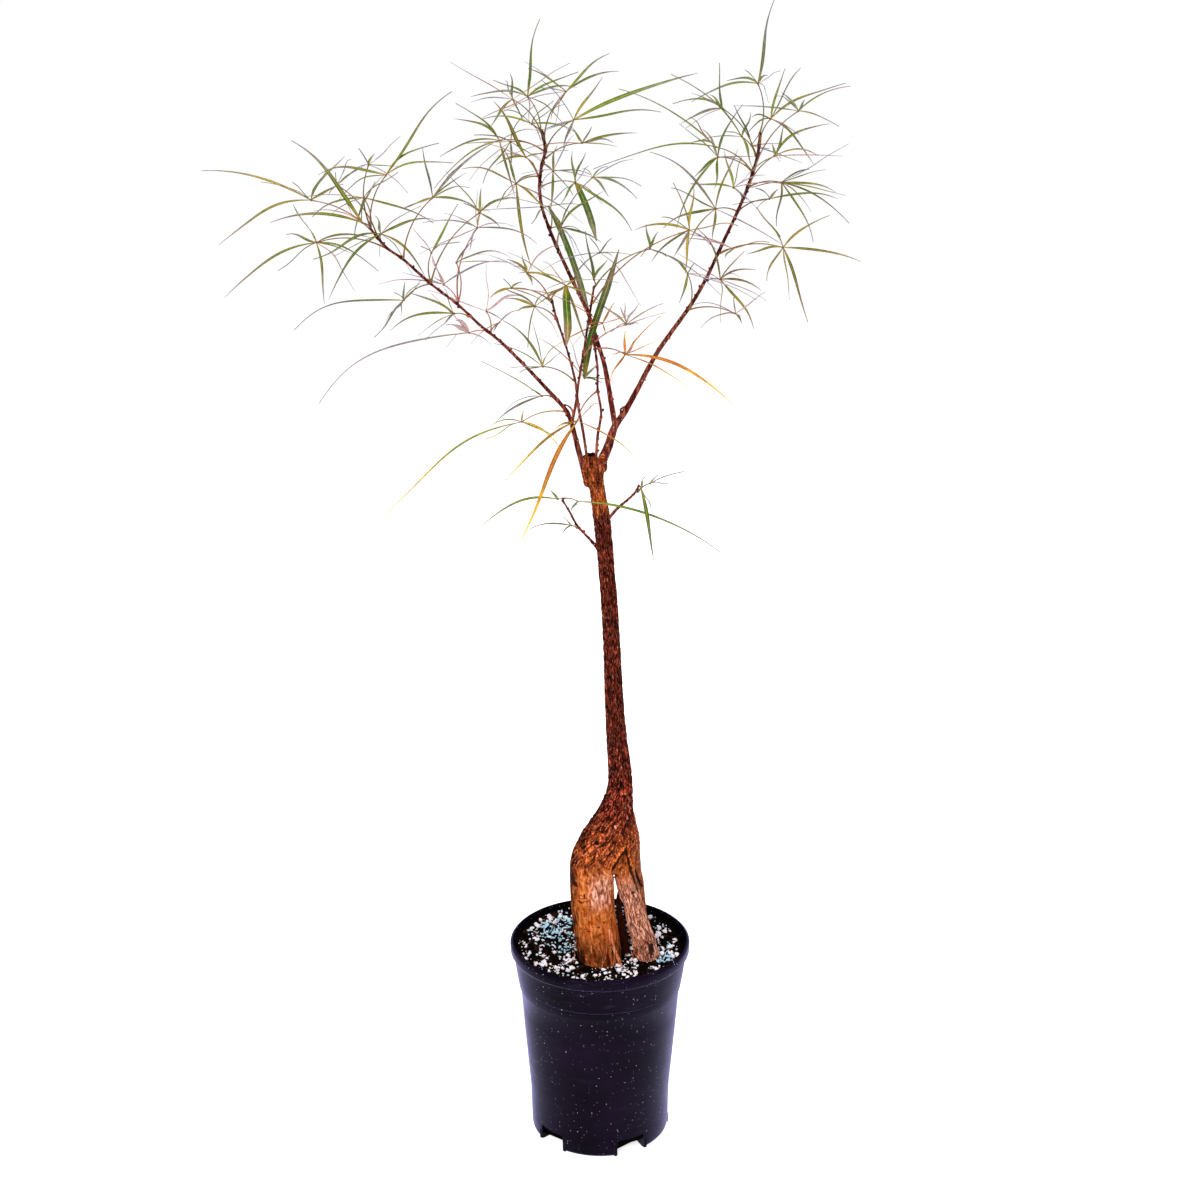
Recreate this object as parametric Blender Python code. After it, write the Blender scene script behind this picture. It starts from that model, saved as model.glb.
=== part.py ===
"""Potted bottle tree: a young tree on raised root legs, pruned at the crown, in a black nursery pot.

Lengths are in millimetres until a mesh is made, which is in metres. X is across, Y is depth with the
front at -Y, Z is up, and the origin is the centre of the pot's underside. The plant's places are given
as across and up on the plane of the trunk as they are seen from the front, at eye height and distance,
and sight() carries each one along its sight line to its own depth.
"""
import math
import random

import bmesh
import bpy
from mathutils import Vector
from mathutils.kdtree import KDTree

MM = 0.001
SEAT_GAP = 0.3
CUT_GAP = 0.4
WELD = 0.003
FLAT_ANGLE = math.radians(0.3)

# The front view that the plant's places are given in
EYE_DISTANCE = 1493.0
EYE_HEIGHT = 975.0

# Pot: a number one nursery pot, 165 mm across its rolled rim
POT_HEIGHT = 191.0
RIM_RADIUS = 82.5
RIM_DEPTH = 11.0
NECK_RADIUS = 79.4
BAND_HEIGHT = 147.0
BAND_RADIUS = 75.1
BAND_STEP = 1.4
BASE_RADIUS = 64.0
WALL = 1.5
POT_SIDES = 28
NOTCH_COUNT = 5
NOTCH_FIRST_DEG = -135.0
NOTCH_WIDTH_DEG = 25.0
NOTCH_HEIGHT = 16.0
NOTCH_RADIUS = 58.0
CHANNEL_ROOF = 8.0
CHANNEL_RADIUS = 47.0
CHANNEL_SIDE_DEG = 3.0
SOIL_SIDE_DEG = 1.0

# Soil: fills the pot to a little under the rim
SOIL_TOP = 178.0
SOIL_RISE = 2.2
SOIL_RINGS = (0.6,)
SOIL_SEED = 11

# Trunk and root legs: (across, depth, up, radius), and the sides and flute depth of each length
TRUNK_LINE = (
    (13, -4, 264, 9), (15, -3, 284, 12.4), (16.5, -1, 303, 13), (17, 0, 324, 12.4), (18, 0, 347, 10.8),
    (17, 0, 366, 9.8), (15, 0, 386, 9.0), (12.5, 0, 424, 8.1), (10, 0, 480, 7.3), (7.8, 0, 516, 7.0),
    (4.3, 0, 561, 6.9), (1.5, 0, 588, 7.3), (-2.3, 0, 614, 6.4), (-5.5, 0, 631, 7.8), (-8, 0, 641, 7.4),
    (-8.5, 0, 646, 6),
)
LEFT_LEG = (
    (18, 0, 345, 8.5), (14.5, -1, 322, 12.6), (6, -3, 300, 16.4), (-4.5, -6, 280, 17.8),
    (-8.5, -8, 262, 18.2), (-8, -10, 240, 18.8), (-5, -12, 214, 19.8), (-1.5, -13, 190, 20.2),
    (1, -14, 168, 18), (2, -14, 142, 9),
)
RIGHT_LEG = (
    (20, 0, 322, 9), (22, -1, 296, 10.5), (22, -2, 276, 9.8), (23.5, -4, 258, 8.4), (28, -6, 238, 8.2),
    (35, -8, 209, 9.6), (41.5, -9, 186, 10.8), (45, -10, 164, 10), (49, -10, 138, 4),
)
BACK_LEG = (
    (21, 6, 318, 8), (28, 10, 290, 9), (32.5, 14, 262, 6.8), (35, 18, 236, 5.8), (38, 20, 206, 5.4),
    (40, 22, 176, 5), (42, 23, 146, 3),
)
FRONT_ROOT = ((8, -27, 214, 2.4), (12, -28, 196, 1.8), (19, -29, 178, 1.7), (24, -29, 160, 1.2))
BARK_FLUTES = 3
WOOD_SECTIONS = ((10, 0.06), (11, 0.06), (9, 0.06), (8, 0.06), (6, 0))
BARK_FLUTE_TURN = 0.12

# Stems: first and last depth, first and last radius, then (across, up) from the foot to the tip
STEMS = {
    "right_branch": (-2, 28, 4.6, 1.2, (
        (-1, 634), (7, 652), (12, 668), (21, 682), (33, 704), (49, 734), (73, 768), (87, 792), (97, 814),
        (112, 847), (120, 867), (127, 891), (129, 909))),
    "left_branch": (-2, -30, 2.8, 1.0, (
        (-11, 624), (-18, 648), (-23, 668), (-28, 682), (-40, 696), (-62, 720), (-83, 741), (-99, 754),
        (-118, 772), (-140, 789), (-162, 809), (-175, 818), (-188, 834))),
    "centre_branch": (0, 80, 2.4, 1.3, (
        (13, 668), (9, 692), (4, 720), (-2, 740), (-10, 765), (-23, 792), (-36, 820), (-46, 846),
        (-49, 866), (-47, 884), (-44, 896), (-47, 911))),
    "inner_shoot_left": (-1, -48, 1.3, 0.9, (
        (-10, 634), (-14, 663), (-18, 685), (-21, 709), (-28, 736), (-36, 760), (-40, 776))),
    "inner_shoot_middle": (-5, -16, 1.3, 0.9, (
        (-24, 670), (-20, 690), (-18, 706), (-14, 730), (-10, 755), (-7, 773), (-5, 786))),
    "inner_shoot_right": (-2, -34, 1.3, 0.9, (
        (-4, 634), (-2, 661), (1, 681), (-2, 700), (-2, 717), (-4, 734), (-6, 746))),
    "trunk_shoot_left": (0, -30, 1.5, 0.9, ((4, 555), (-9, 571), (-19, 582), (-26, 595), (-32, 605))),
    "trunk_shoot_right": (0, -26, 1.6, 0.9, ((2, 582), (14, 597), (23, 605), (30, 612), (33, 618))),
}
STEM_SIDES = 6
STEM_STEPS = 2
STEM_TAPER = 3
STEM_LEAN = 1.3

# Leaves. A spray is the leaves that grow from one bud: its stem, the bud's height, its tint, and for
# each leaf the hub's place and the leaflets as (bearing, length as seen, width where it isn't LEAFLET).
# A bearing of 0 points right and 90 up.
SPRAYS = (
    ("left_branch", 681, "yellow", (
        (-66, 673, ((215, 150), (205, 35), (325, 40, 2.6), (80, 10), (185, 25))),)),
    ("left_branch", 698, "olive", ((-49, 695, ((210, 45), (150, 10))),)),
    ("left_branch", 746, "pink", (
        (-109, 748, ((160, 20, 2.8), (135, 15, 3.2), (205, 140))),
        (-94, 766, ((25, 30, 2.8), (330, 15))),
        (-83, 757, ((235, 10), (30, 20))))),
    ("left_branch", 761, "olive", ((-121, 764, ((155, 40, 2.6), (195, 55), (225, 10))),)),
    ("left_branch", 776, "pink", (
        (-129, 788, ((110, 25, 3.2), (140, 10), (20, 55))),
        (-100, 834, ((175, 45), (345, 50), (250, 20), (75, 20))),
        (-118, 806, ((5, 45), (270, 20), (50, 25))))),
    ("left_branch", 787, "olive", (
        (-138, 814, ((150, 10), (60, 45), (20, 25))),
        (-98, 846, ((150, 15), (325, 20), (20, 35), (85, 20))))),
    ("left_branch", 794, "grey", (
        (-162, 775, ((140, 10), (195, 95), (230, 40), (85, 15))),)),
    ("left_branch", 808, "olive", ((-136, 858, ((100, 40), (40, 70), (345, 40, 2.6), (200, 25))),)),
    ("left_branch", 816, "olive", (
        (-232, 822, ((120, 35, 2.8), (165, 25), (210, 90), (215, 40), (275, 50), (335, 55), (5, 45))),)),
    ("left_branch", 822, "green", (
        (-179, 829, ((200, 60, 2.6), (15, 45, 2.6), (105, 15), (315, 50), (230, 70))),)),
    ("left_branch", 828, "olive", (
        (-235, 856, ((165, 90), (205, 85), (135, 20), (25, 30), (60, 30), (50, 45))),
        (-213, 868, ((95, 10), (225, 10))))),
    ("left_branch", 833, "olive", (
        (-192, 858, ((200, 45), (255, 35), (35, 35, 2.8), (340, 60))),
        (-173, 876, ((50, 85, 2.8), (30, 50), (10, 55), (180, 55))),
        (-194, 838, ((130, 85, 3.6), (180, 75, 2.6), (70, 35, 2.8))),
        (-187, 884, ((120, 15), (60, 10))))),
    ("centre_branch", 793, "grey", ((0, 814, ((50, 15), (345, 10), (125, 15))),)),
    ("centre_branch", 818, "grey", ((-6, 874, ((335, 40), (350, 40), (310, 20), (35, 15))),)),
    ("centre_branch", 836, "green", (
        (-32, 834, ((40, 45), (340, 35), (120, 20, 2.6), (280, 20))),
        (-42, 851, ((290, 100, 3.8), (225, 20))))),
    ("centre_branch", 864, "green", (
        (-20, 870, ((70, 25), (290, 50, 3.2), (320, 60, 2.6), (95, 25), (235, 20))),)),
    ("centre_branch", 873, "olive", (
        (-68, 869, ((165, 45), (280, 70, 2.8), (320, 35), (230, 25), (25, 20), (110, 30))),
        (-60, 890, ((120, 50, 3.2), (300, 30), (195, 25))))),
    ("centre_branch", 881, "olive", ((-38, 879, ((265, 35, 2.6), (355, 30), (80, 20), (310, 25))),)),
    ("centre_branch", 889, "orange", ((-14, 901, ((0, 25), (10, 45), (60, 15), (125, 15))),)),
    ("centre_branch", 894, "green", (
        (-21, 919, ((130, 40), (20, 105, 3.6), (5, 70, 2.8), (55, 40), (250, 25))),)),
    ("centre_branch", 898, "olive", (
        (-72, 902, ((170, 30), (270, 20), (55, 35), (235, 40))),
        (-81, 903, ((140, 45), (155, 40), (215, 65), (195, 50), (285, 45))))),
    ("centre_branch", 904, "olive", (
        (-27, 941, ((150, 35), (40, 45), (20, 45), (240, 25))),
        (-55, 916, ((155, 25), (175, 40), (45, 25), (300, 15), (350, 35))))),
    ("centre_branch", 910, "green", (
        (-58, 937, ((80, 60, 2.8), (155, 30), (180, 45), (25, 45), (10, 40))),
        (-70, 935, ((95, 20), (295, 20), (230, 30))))),
    ("inner_shoot_left", 704, "olive", ((-48, 720, ((130, 50), (195, 20), (60, 20))),)),
    ("inner_shoot_left", 762, "orange", (
        (-54, 770, ((150, 30), (260, 35), (195, 15), (165, 25), (35, 25))),)),
    ("inner_shoot_left", 775, "olive", (
        (-28, 787, ((270, 50, 3.8), (215, 20), (165, 40), (290, 55), (335, 30), (25, 15))),
        (-73, 785, ((130, 10), (30, 10), (205, 20))),
        (-60, 797, ((145, 20), (5, 10), (105, 15), (295, 10))))),
    ("inner_shoot_middle", 714, "green", ((-13, 710, ((75, 110, 3.6), (345, 15), (50, 15))),)),
    ("inner_shoot_middle", 734, "pink", (
        (22, 755, ((110, 15, 2.8), (60, 20), (30, 35), (5, 10), (205, 15))),)),
    ("inner_shoot_middle", 755, "orange", ((2, 756, ((60, 20), (290, 10))),)),
    ("inner_shoot_middle", 772, "olive", (
        (73, 832, ((110, 40), (85, 35), (155, 25), (180, 45), (5, 40), (220, 40), (265, 35), (240, 25))),)),
    ("inner_shoot_middle", 784, "green", (
        (-5, 792, ((100, 40, 3.2), (55, 20), (125, 20))),
        (41, 817, ((100, 20, 2.6), (65, 15), (220, 10), (335, 15))))),
    ("inner_shoot_right", 704, "orange", ((-19, 674, ((220, 80, 2.6), (245, 120, 3.8), (200, 20))),)),
    ("inner_shoot_right", 734, "orange", (
        (21, 730, ((335, 100, 2.8), (50, 20), (240, 25, 2.6), (90, 20), (180, 10))),)),
    ("right_branch", 770, "orange", (
        (112, 764, ((95, 15), (305, 10))),
        (72, 797, ((135, 20), (255, 25), (55, 10))))),
    ("right_branch", 790, "olive", (
        (99, 792, ((115, 45, 3.2), (15, 30), (50, 30), (345, 35), (305, 50, 2.6))),)),
    ("right_branch", 815, "orange", (
        (109, 817, ((10, 30), (230, 10))),
        (150, 818, ((125, 40, 2.6), (290, 65, 2.6), (350, 65), (35, 45), (190, 30), (245, 30))))),
    ("right_branch", 848, "olive", (
        (94, 849, ((140, 70), (155, 40), (70, 50), (200, 45, 2.6), (265, 25), (235, 40))),
        (138, 857, ((50, 10), (0, 55), (145, 15))))),
    ("right_branch", 860, "olive", ((108, 866, ((75, 25), (105, 30), (175, 35, 2.8), (320, 15))),)),
    ("right_branch", 866, "olive", (
        (147, 870, ((25, 25, 2.8), (190, 25), (350, 45), (330, 65), (300, 55), (265, 35, 2.6))),)),
    ("right_branch", 871, "olive", ((141, 891, ((75, 25), (30, 50), (0, 35), (105, 10))),)),
    ("right_branch", 876, "green", (
        (93, 898, ((150, 90), (190, 100), (170, 20))),
        (95, 890, ((65, 45), (240, 65), (265, 25), (120, 25), (220, 25))))),
    ("right_branch", 883, "grey", ((159, 926, ((60, 10), (340, 35), (25, 45), (135, 20))),)),
    ("right_branch", 894, "green", (
        (98, 928, ((95, 35, 2.8), (135, 15), (200, 35), (175, 40))),
        (114, 906, ((140, 75), (70, 20), (290, 25), (165, 15))),
        (122, 899, ((115, 35), (350, 15), (60, 15))))),
    ("right_branch", 902, "olive", (
        (137, 920, ((175, 15), (315, 50), (60, 45), (75, 40), (210, 20), (25, 65))),)),
    ("right_branch", 908, "grey", ((126, 947, ((80, 65, 2.8), (175, 25), (195, 55), (40, 10), (135, 15))),)),
    ("trunk_shoot_left", 582, "grey", ((-25, 583, ((185, 35), (130, 10), (225, 10))),)),
    ("trunk_shoot_left", 604, "green", (
        (-19, 604, ((340, 130, 2.6), (240, 10))),
        (-36, 606, ((200, 70), (130, 10))))),
    ("trunk_shoot_right", 614, "green", (
        (35, 616, ((280, 65, 3.2), (295, 20), (70, 10))),
        (43, 620, ((20, 30, 3.2), (0, 15), (50, 10))))),
)
LEAF_SEED = 5
LEAFLET = 2.1
LEAFLET_THICK = 1.0
LEAFLET_TIP = 0.6
BLADE_CUTS = ((72, (0, 5)), (112, (0, 4, 7)), (math.inf, (0, 3, 6, 8)))
BLADE_SHARES = {0: 0.5, 3: 0.9, 4: 1.0, 5: 1.0, 6: 1.0, 7: 0.85, 8: 0.7}
LEAFLET_REACH = 72.0
YOUNG_LENGTH = 25.0
YOUNG_REACH = 30.0
MAX_DEPTH = 50.0
STALK_RADIUS = 0.6
LONG_STALK = 70.0
HUB_RADIUS = 1.9
ROOT_SINK = 1.0
BUD_RADIUS = 2.1
LONE_BUD = 0.75
BUD_LEAN = 0.7
BUD_RISE = 0.45
STALK_BOW = 0.1
BOW = 0.09
CLEAR = 1.4
WIDEST = 13.0
FOOT_REACH = 7.0
WOOD_SPACING = 1.8
FIRST_TURN = 0.4
TRY_TURN = 0.23
TRY_ROLL = 0.13
TRIES = 12
HUB_SHIFTS = (0, -8, 8, -16, 16, -24, 24, -34, 34, -46, 46, -60, 60)
TIP_SHIFTS = (0, -7, 7, -14, 14, -21, 21, -28, 28, -38, 38, -50, 50, -64, 64, -80, 80)

TINTS = {
    "green": (0.16, 0.32, 0.03), "olive": (0.19, 0.25, 0.05), "grey": (0.24, 0.25, 0.16),
    "pink": (0.52, 0.34, 0.36), "yellow": (0.55, 0.52, 0.06), "orange": (0.62, 0.24, 0.03),
}
BARK = (0.17, 0.055, 0.028)
YOUNG_BARK = (0.12, 0.04, 0.022)
POT_BLACK = (0.012, 0.012, 0.018)
SOIL_BLACK = (0.02, 0.015, 0.012)


def finish(name, colour, roughness):
    """Plain non-metal material, made once."""
    material = bpy.data.materials.get(name)
    if material is None:
        material = bpy.data.materials.new(name)
        material.use_nodes = True
        shader = material.node_tree.nodes["Principled BSDF"]
        shader.inputs["Base Color"].default_value = (*colour, 1)
        shader.inputs["Roughness"].default_value = roughness
        shader.inputs["Metallic"].default_value = 0
    return material


def piece(name, solid, material=None):
    """Object from a solid: its points in millimetres and its faces."""
    points, faces = solid
    mesh = bpy.data.meshes.new(name)
    mesh.from_pydata([Vector(p) * MM for p in points], [], faces)
    if material:
        mesh.materials.append(material)
    obj = bpy.data.objects.new(name, mesh)
    bpy.context.scene.collection.objects.link(obj)
    shape = bmesh.new()
    shape.from_mesh(mesh)
    bmesh.ops.triangulate(shape, faces=shape.faces)
    bmesh.ops.recalc_face_normals(shape, faces=shape.faces)
    shape.to_mesh(mesh)
    shape.free()
    return obj


def largest_body(shape):
    """Deletes what isn't joined to the largest run of faces, such as a scrap or a sealed hollow."""
    left = set(shape.faces)
    bodies = []
    while left:
        body = [left.pop()]
        for face in body:
            for edge in face.edges:
                for near in edge.link_faces:
                    if near in left:
                        left.remove(near)
                        body.append(near)
        bodies.append(body)
    bodies.sort(key=len)
    for body in bodies[:-1]:
        bmesh.ops.delete(shape, geom=body, context="FACES")


def is_closed(shape):
    return bool(shape.faces) and all(len(edge.link_faces) == 2 for edge in shape.edges)


def cleaned(mesh, flat):
    """Merges points that a Boolean left together, and faces that lie in one plane where flat is set."""
    shape = bmesh.new()
    shape.from_mesh(mesh)
    bmesh.ops.remove_doubles(shape, verts=shape.verts, dist=WELD * MM)
    bmesh.ops.dissolve_degenerate(shape, edges=shape.edges, dist=WELD * MM)
    if flat:
        bmesh.ops.dissolve_limit(shape, angle_limit=FLAT_ANGLE, verts=shape.verts, edges=shape.edges)
    bmesh.ops.triangulate(shape, faces=shape.faces)
    largest_body(shape)
    return shape


def combine(obj, others, operation, solver="EXACT"):
    """Joins or cuts obj by a collection of others with one Boolean, applied; says if it stayed closed."""
    group = bpy.data.collections.new("operands")
    for other in others:
        group.objects.link(other)
    boolean = obj.modifiers.new("combine", "BOOLEAN")
    boolean.operation = operation
    boolean.operand_type = "COLLECTION"
    boolean.collection = group
    boolean.solver = solver
    result = bpy.data.meshes.new_from_object(obj.evaluated_get(bpy.context.evaluated_depsgraph_get()))
    obj.modifiers.remove(boolean)
    bpy.data.collections.remove(group)
    for flat in (True, False):
        shape = cleaned(result, flat)
        closed = is_closed(shape)
        if closed or not flat:
            shape.to_mesh(result)
        shape.free()
        if closed:
            break
    before = obj.data
    obj.data = result
    bpy.data.meshes.remove(before)
    result.name = obj.name
    return closed


def remove(objects):
    for obj in objects:
        mesh = obj.data
        bpy.data.objects.remove(obj)
        bpy.data.meshes.remove(mesh)


def turned(profile, sides):
    """Solid turned about Z from a closed (radius, height) outline; a radius of 0 is one point."""
    points, rings, faces = [], [], []
    for radius, height in profile:
        start = len(points)
        if radius == 0:
            points.append((0, 0, height))
            rings.append([start] * sides)
            continue
        for k in range(sides):
            turn = 2 * math.pi * k / sides
            points.append((radius * math.cos(turn), radius * math.sin(turn), height))
        rings.append(list(range(start, start + sides)))
    for low, high in zip(rings, rings[1:]):
        for k in range(sides):
            corners = (low[k], low[(k + 1) % sides], high[(k + 1) % sides], high[k])
            face = tuple(dict.fromkeys(corners))
            if len(face) > 2:
                faces.append(face)
    return points, faces


def wedge(outline, middle_deg, width_deg):
    """A closed (radius, height) outline carried from one bearing to another."""
    points = []
    for side in (-0.5, 0.5):
        turn = math.radians(middle_deg + side * width_deg)
        points += [(radius * math.cos(turn), radius * math.sin(turn), height) for radius, height in outline]
    count = len(outline)
    faces = [tuple(reversed(range(count))), tuple(range(count, 2 * count))]
    faces += [(k, (k + 1) % count, (k + 1) % count + count, k + count) for k in range(count)]
    return points, faces


def block(inner, outer, low, high):
    return [(inner, low), (outer, low), (outer, high), (inner, high)]


def smooth_line(knots, steps):
    """Points on a smooth curve through knots, each a vector of any size, with steps to each span."""
    ends = [knots[0] * 2 - knots[1], *knots, knots[-1] * 2 - knots[-2]]
    line = []
    for a, b, c, d in zip(ends, ends[1:], ends[2:], ends[3:]):
        for k in range(steps):
            t = k / steps
            line.append(0.5 * (2 * b + (c - a) * t + (2 * a - 5 * b + 4 * c - d) * t ** 2
                               + (3 * b - a - 3 * c + d) * t ** 3))
    line.append(knots[-1])
    return line


def tube(line, radii, sides, flutes=0, flute_depth=0.0):
    """Closed round tube along a line. Flutes are long ridges that turn slowly round it."""
    points, faces = [], []
    across = Vector((1, 0, 0))
    for i, centre in enumerate(line):
        ahead = (line[min(i + 1, len(line) - 1)] - line[max(i - 1, 0)]).normalized()
        across = (across - ahead * across.dot(ahead)).normalized()
        other = ahead.cross(across)
        for k in range(sides):
            turn = 2 * math.pi * k / sides
            ridge = 1 + flute_depth * math.cos(flutes * turn + BARK_FLUTE_TURN * centre.z)
            points.append(centre + radii[i] * ridge * (across * math.cos(turn) + other * math.sin(turn)))
    for i in range(len(line) - 1):
        for k in range(sides):
            low, low_next = i * sides + k, i * sides + (k + 1) % sides
            faces.append((low, low_next, low_next + sides, low + sides))
    faces.append(tuple(reversed(range(sides))))
    faces.append(tuple(range(len(points) - sides, len(points))))
    return points, faces


def sight(across, depth, up):
    """Place at a depth that is seen from the front at (across, up) on the plane of the trunk."""
    scale = 1 + depth / EYE_DISTANCE
    return Vector((across * scale, depth, EYE_HEIGHT + (up - EYE_HEIGHT) * scale))


def pot_outline():
    """Outer wall from the base up, over the rim, and down the inner wall to the floor."""
    rim_low = POT_HEIGHT - RIM_DEPTH
    outer = [
        (0, 0), (BASE_RADIUS - 3, 0), (BASE_RADIUS, 3),
        (BASE_RADIUS + 0.8, 40), (BASE_RADIUS + 6.0, 100),
        (BAND_RADIUS - BAND_STEP, BAND_HEIGHT - 1), (BAND_RADIUS, BAND_HEIGHT),
        (NECK_RADIUS, rim_low - 1), (RIM_RADIUS - 1.5, rim_low), (RIM_RADIUS - 0.2, rim_low + 1.4),
        (RIM_RADIUS, POT_HEIGHT - 3), (RIM_RADIUS - 0.9, POT_HEIGHT - 0.7), (RIM_RADIUS - 2.6, POT_HEIGHT),
        (RIM_RADIUS - 4.4, POT_HEIGHT - 0.6), (RIM_RADIUS - 5.4, POT_HEIGHT - 2.4),
    ]
    inner = [
        (NECK_RADIUS - WALL, rim_low - 2), (BAND_RADIUS - BAND_STEP - WALL, BAND_HEIGHT),
        (BASE_RADIUS + 6.0 - WALL, 100), (BASE_RADIUS + 0.8 - WALL, 40),
        (BASE_RADIUS - WALL - 0.5, WALL), (0, WALL),
    ]
    return outer, inner


def at_notches(outline, width_deg):
    """One wedge of an outline at each drain notch."""
    bearings = [NOTCH_FIRST_DEG + k * 360 / NOTCH_COUNT for k in range(NOTCH_COUNT)]
    return [piece("wedge", wedge(outline, bearing, width_deg)) for bearing in bearings]


def make_pot():
    """Turned shell with notches in its foot. A roofed channel under the floor leads to each notch."""
    outer, inner = pot_outline()
    pot = piece("pot", turned(outer + inner, POT_SIDES), finish("pot plastic", POT_BLACK, 0.42))
    roof = block(CHANNEL_RADIUS, BASE_RADIUS - WALL / 2, WALL / 2, CHANNEL_ROOF + WALL)
    roofs = at_notches(roof, NOTCH_WIDTH_DEG + 2 * CHANNEL_SIDE_DEG)
    combine(pot, roofs, "UNION")
    inside = CHANNEL_RADIUS + WALL
    opening = [(inside, -WALL), (RIM_RADIUS, -WALL), (RIM_RADIUS, NOTCH_HEIGHT), (NOTCH_RADIUS, NOTCH_HEIGHT),
               (NOTCH_RADIUS, CHANNEL_ROOF), (inside, CHANNEL_ROOF)]
    openings = at_notches(opening, NOTCH_WIDTH_DEG)
    combine(pot, openings, "DIFFERENCE")
    remove(roofs + openings)


def make_soil():
    """Fills the pot's inner outline, a seat gap clear of it, under an uneven surface."""
    inner = pot_outline()[1]
    side = [(radius - SEAT_GAP if radius else 0, height + SEAT_GAP if height <= WALL else height)
            for radius, height in reversed(inner)]
    side[-1] = (NECK_RADIUS - WALL - SEAT_GAP, SOIL_TOP)
    edge = side[-1][0]
    top = [(edge * share, SOIL_TOP) for share in reversed(SOIL_RINGS)] + [(0, SOIL_TOP)]
    points, faces = turned(side + top, POT_SIDES)
    draw = random.Random(SOIL_SEED)
    for i in range(len(points) - len(SOIL_RINGS) * POT_SIDES - 1, len(points)):
        x, y, z = points[i]
        points[i] = (x, y, z + SOIL_RISE * draw.uniform(-1, 0.6))
    soil = piece("soil", (points, faces), finish("soil mix", SOIL_BLACK, 0.95))
    hollow = block(CHANNEL_RADIUS - SEAT_GAP, RIM_RADIUS, -WALL, CHANNEL_ROOF + WALL + SEAT_GAP)
    cutters = at_notches(hollow, NOTCH_WIDTH_DEG + 2 * CHANNEL_SIDE_DEG + SOIL_SIDE_DEG) + wood_tubes(CUT_GAP)
    combine(soil, cutters, "DIFFERENCE")
    remove(cutters)


def wood_lines():
    """Smooth centre line and radii of each length of the trunk, its legs and a front root."""
    lines = []
    for knots, steps in ((TRUNK_LINE, 1), (LEFT_LEG, 2), (RIGHT_LEG, 2), (BACK_LEG, 1), (FRONT_ROOT, 1)):
        places = smooth_line([Vector(k) for k in knots], steps)
        lines.append(([p.xyz for p in places], [p.w for p in places]))
    return lines


def grown(line, radii, gap):
    """The same line and radii, wider and longer at both ends by a gap."""
    first = line[0] + (line[0] - line[1]).normalized() * gap
    last = line[-1] + (line[-1] - line[-2]).normalized() * gap
    return [first, *line[1:-1], last], [radius + gap for radius in radii]


def wood_tubes(gap):
    """The trunk's lengths as loose tubes, each grown by a gap."""
    tubes = []
    for (line, radii), (sides, flute_depth) in zip(wood_lines(), WOOD_SECTIONS):
        tubes.append(piece("wood", tube(*grown(line, radii, gap), sides, BARK_FLUTES, flute_depth)))
    return tubes


def make_trunk():
    """The trunk with its root legs, grown as one body."""
    trunk, *legs = wood_tubes(0)
    trunk.name = "trunk"
    trunk.data.materials.append(finish("bark", BARK, 0.8))
    combine(trunk, legs, "UNION")
    remove(legs)
    return trunk


def stem_line(name):
    """Smooth centre line of a stem, and its radius at each point."""
    depth_first, depth_last, thick, thin, knots = STEMS[name]
    last = len(knots) - 1
    places = []
    for i, (across, up) in enumerate(knots):
        share = i / last
        place = sight(across, depth_first + (depth_last - depth_first) * share ** STEM_LEAN, up)
        places.append(Vector((*place, thin + (thick - thin) * (1 - share) ** STEM_TAPER)))
    line = smooth_line(places, STEM_STEPS)
    return [p.xyz for p in line], [p.w for p in line]


def stem_at(name, height):
    """Index of the point of a stem's line that is seen nearest a height."""
    line = stem_line(name)[0]
    seen = [EYE_HEIGHT + (p.z - EYE_HEIGHT) / (1 + p.y / EYE_DISTANCE) for p in line]
    return min(range(len(line)), key=lambda i: abs(seen[i] - height))


def make_stems():
    """The stems, each cut at its foot by what it grows from, and grown copies that cut their leaves."""
    bark = finish("young bark", YOUNG_BARK, 0.6)
    cutters = wood_tubes(CUT_GAP)
    for name in STEMS:
        line, radii = stem_line(name)
        stem = piece(name, tube(line, radii, STEM_SIDES), bark)
        combine(stem, cutters, "DIFFERENCE")
        cutters.append(piece(f"{name} cutter", tube(*grown(line, radii, CUT_GAP), STEM_SIDES)))
    return cutters


def arch(start, end, bow, count):
    """Seen line from start to end, bowed to the left of its way by a share of its length."""
    way = end - start
    left = Vector((-way.z, 0, way.x))
    line = []
    for k in range(count + 1):
        t = k / count
        line.append(start + way * t + left * bow * 4 * t * (1 - t))
    return line


def seen(place):
    """Across, depth and up of a place as the sight lines carry it to the plane of the trunk."""
    scale = 1 + place.y / EYE_DISTANCE
    return Vector((place.x / scale, place.y, EYE_HEIGHT + (place.z - EYE_HEIGHT) / scale))


class Clearance:
    """What has been placed, as round beads, and how far a new line keeps from it."""

    def __init__(self):
        self.beads = []
        self.tree = None

    def add(self, line, radius):
        self.beads += [(place.copy(), radius) for place in line]

    def settle(self):
        self.tree = KDTree(len(self.beads))
        for i, (place, _) in enumerate(self.beads):
            self.tree.insert(place, i)
        self.tree.balance()

    def room(self, line, radius, foot=None):
        """Least gap from a line to the beads, at most CLEAR. Points near the line's foot are passed over."""
        least = CLEAR
        for place in line:
            if foot is not None and (place - foot).length < FOOT_REACH:
                continue
            for _, i, distance in self.tree.find_range(place, radius + WIDEST + CLEAR):
                least = min(least, distance - radius - self.beads[i][1])
        return least


def fill_line(line, spacing):
    """The same line with points no further apart than a spacing."""
    full = [line[0]]
    for a, b in zip(line, line[1:]):
        count = max(1, math.ceil((b - a).length / spacing))
        full.extend(a.lerp(b, k / count) for k in range(1, count + 1))
    return full


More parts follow.
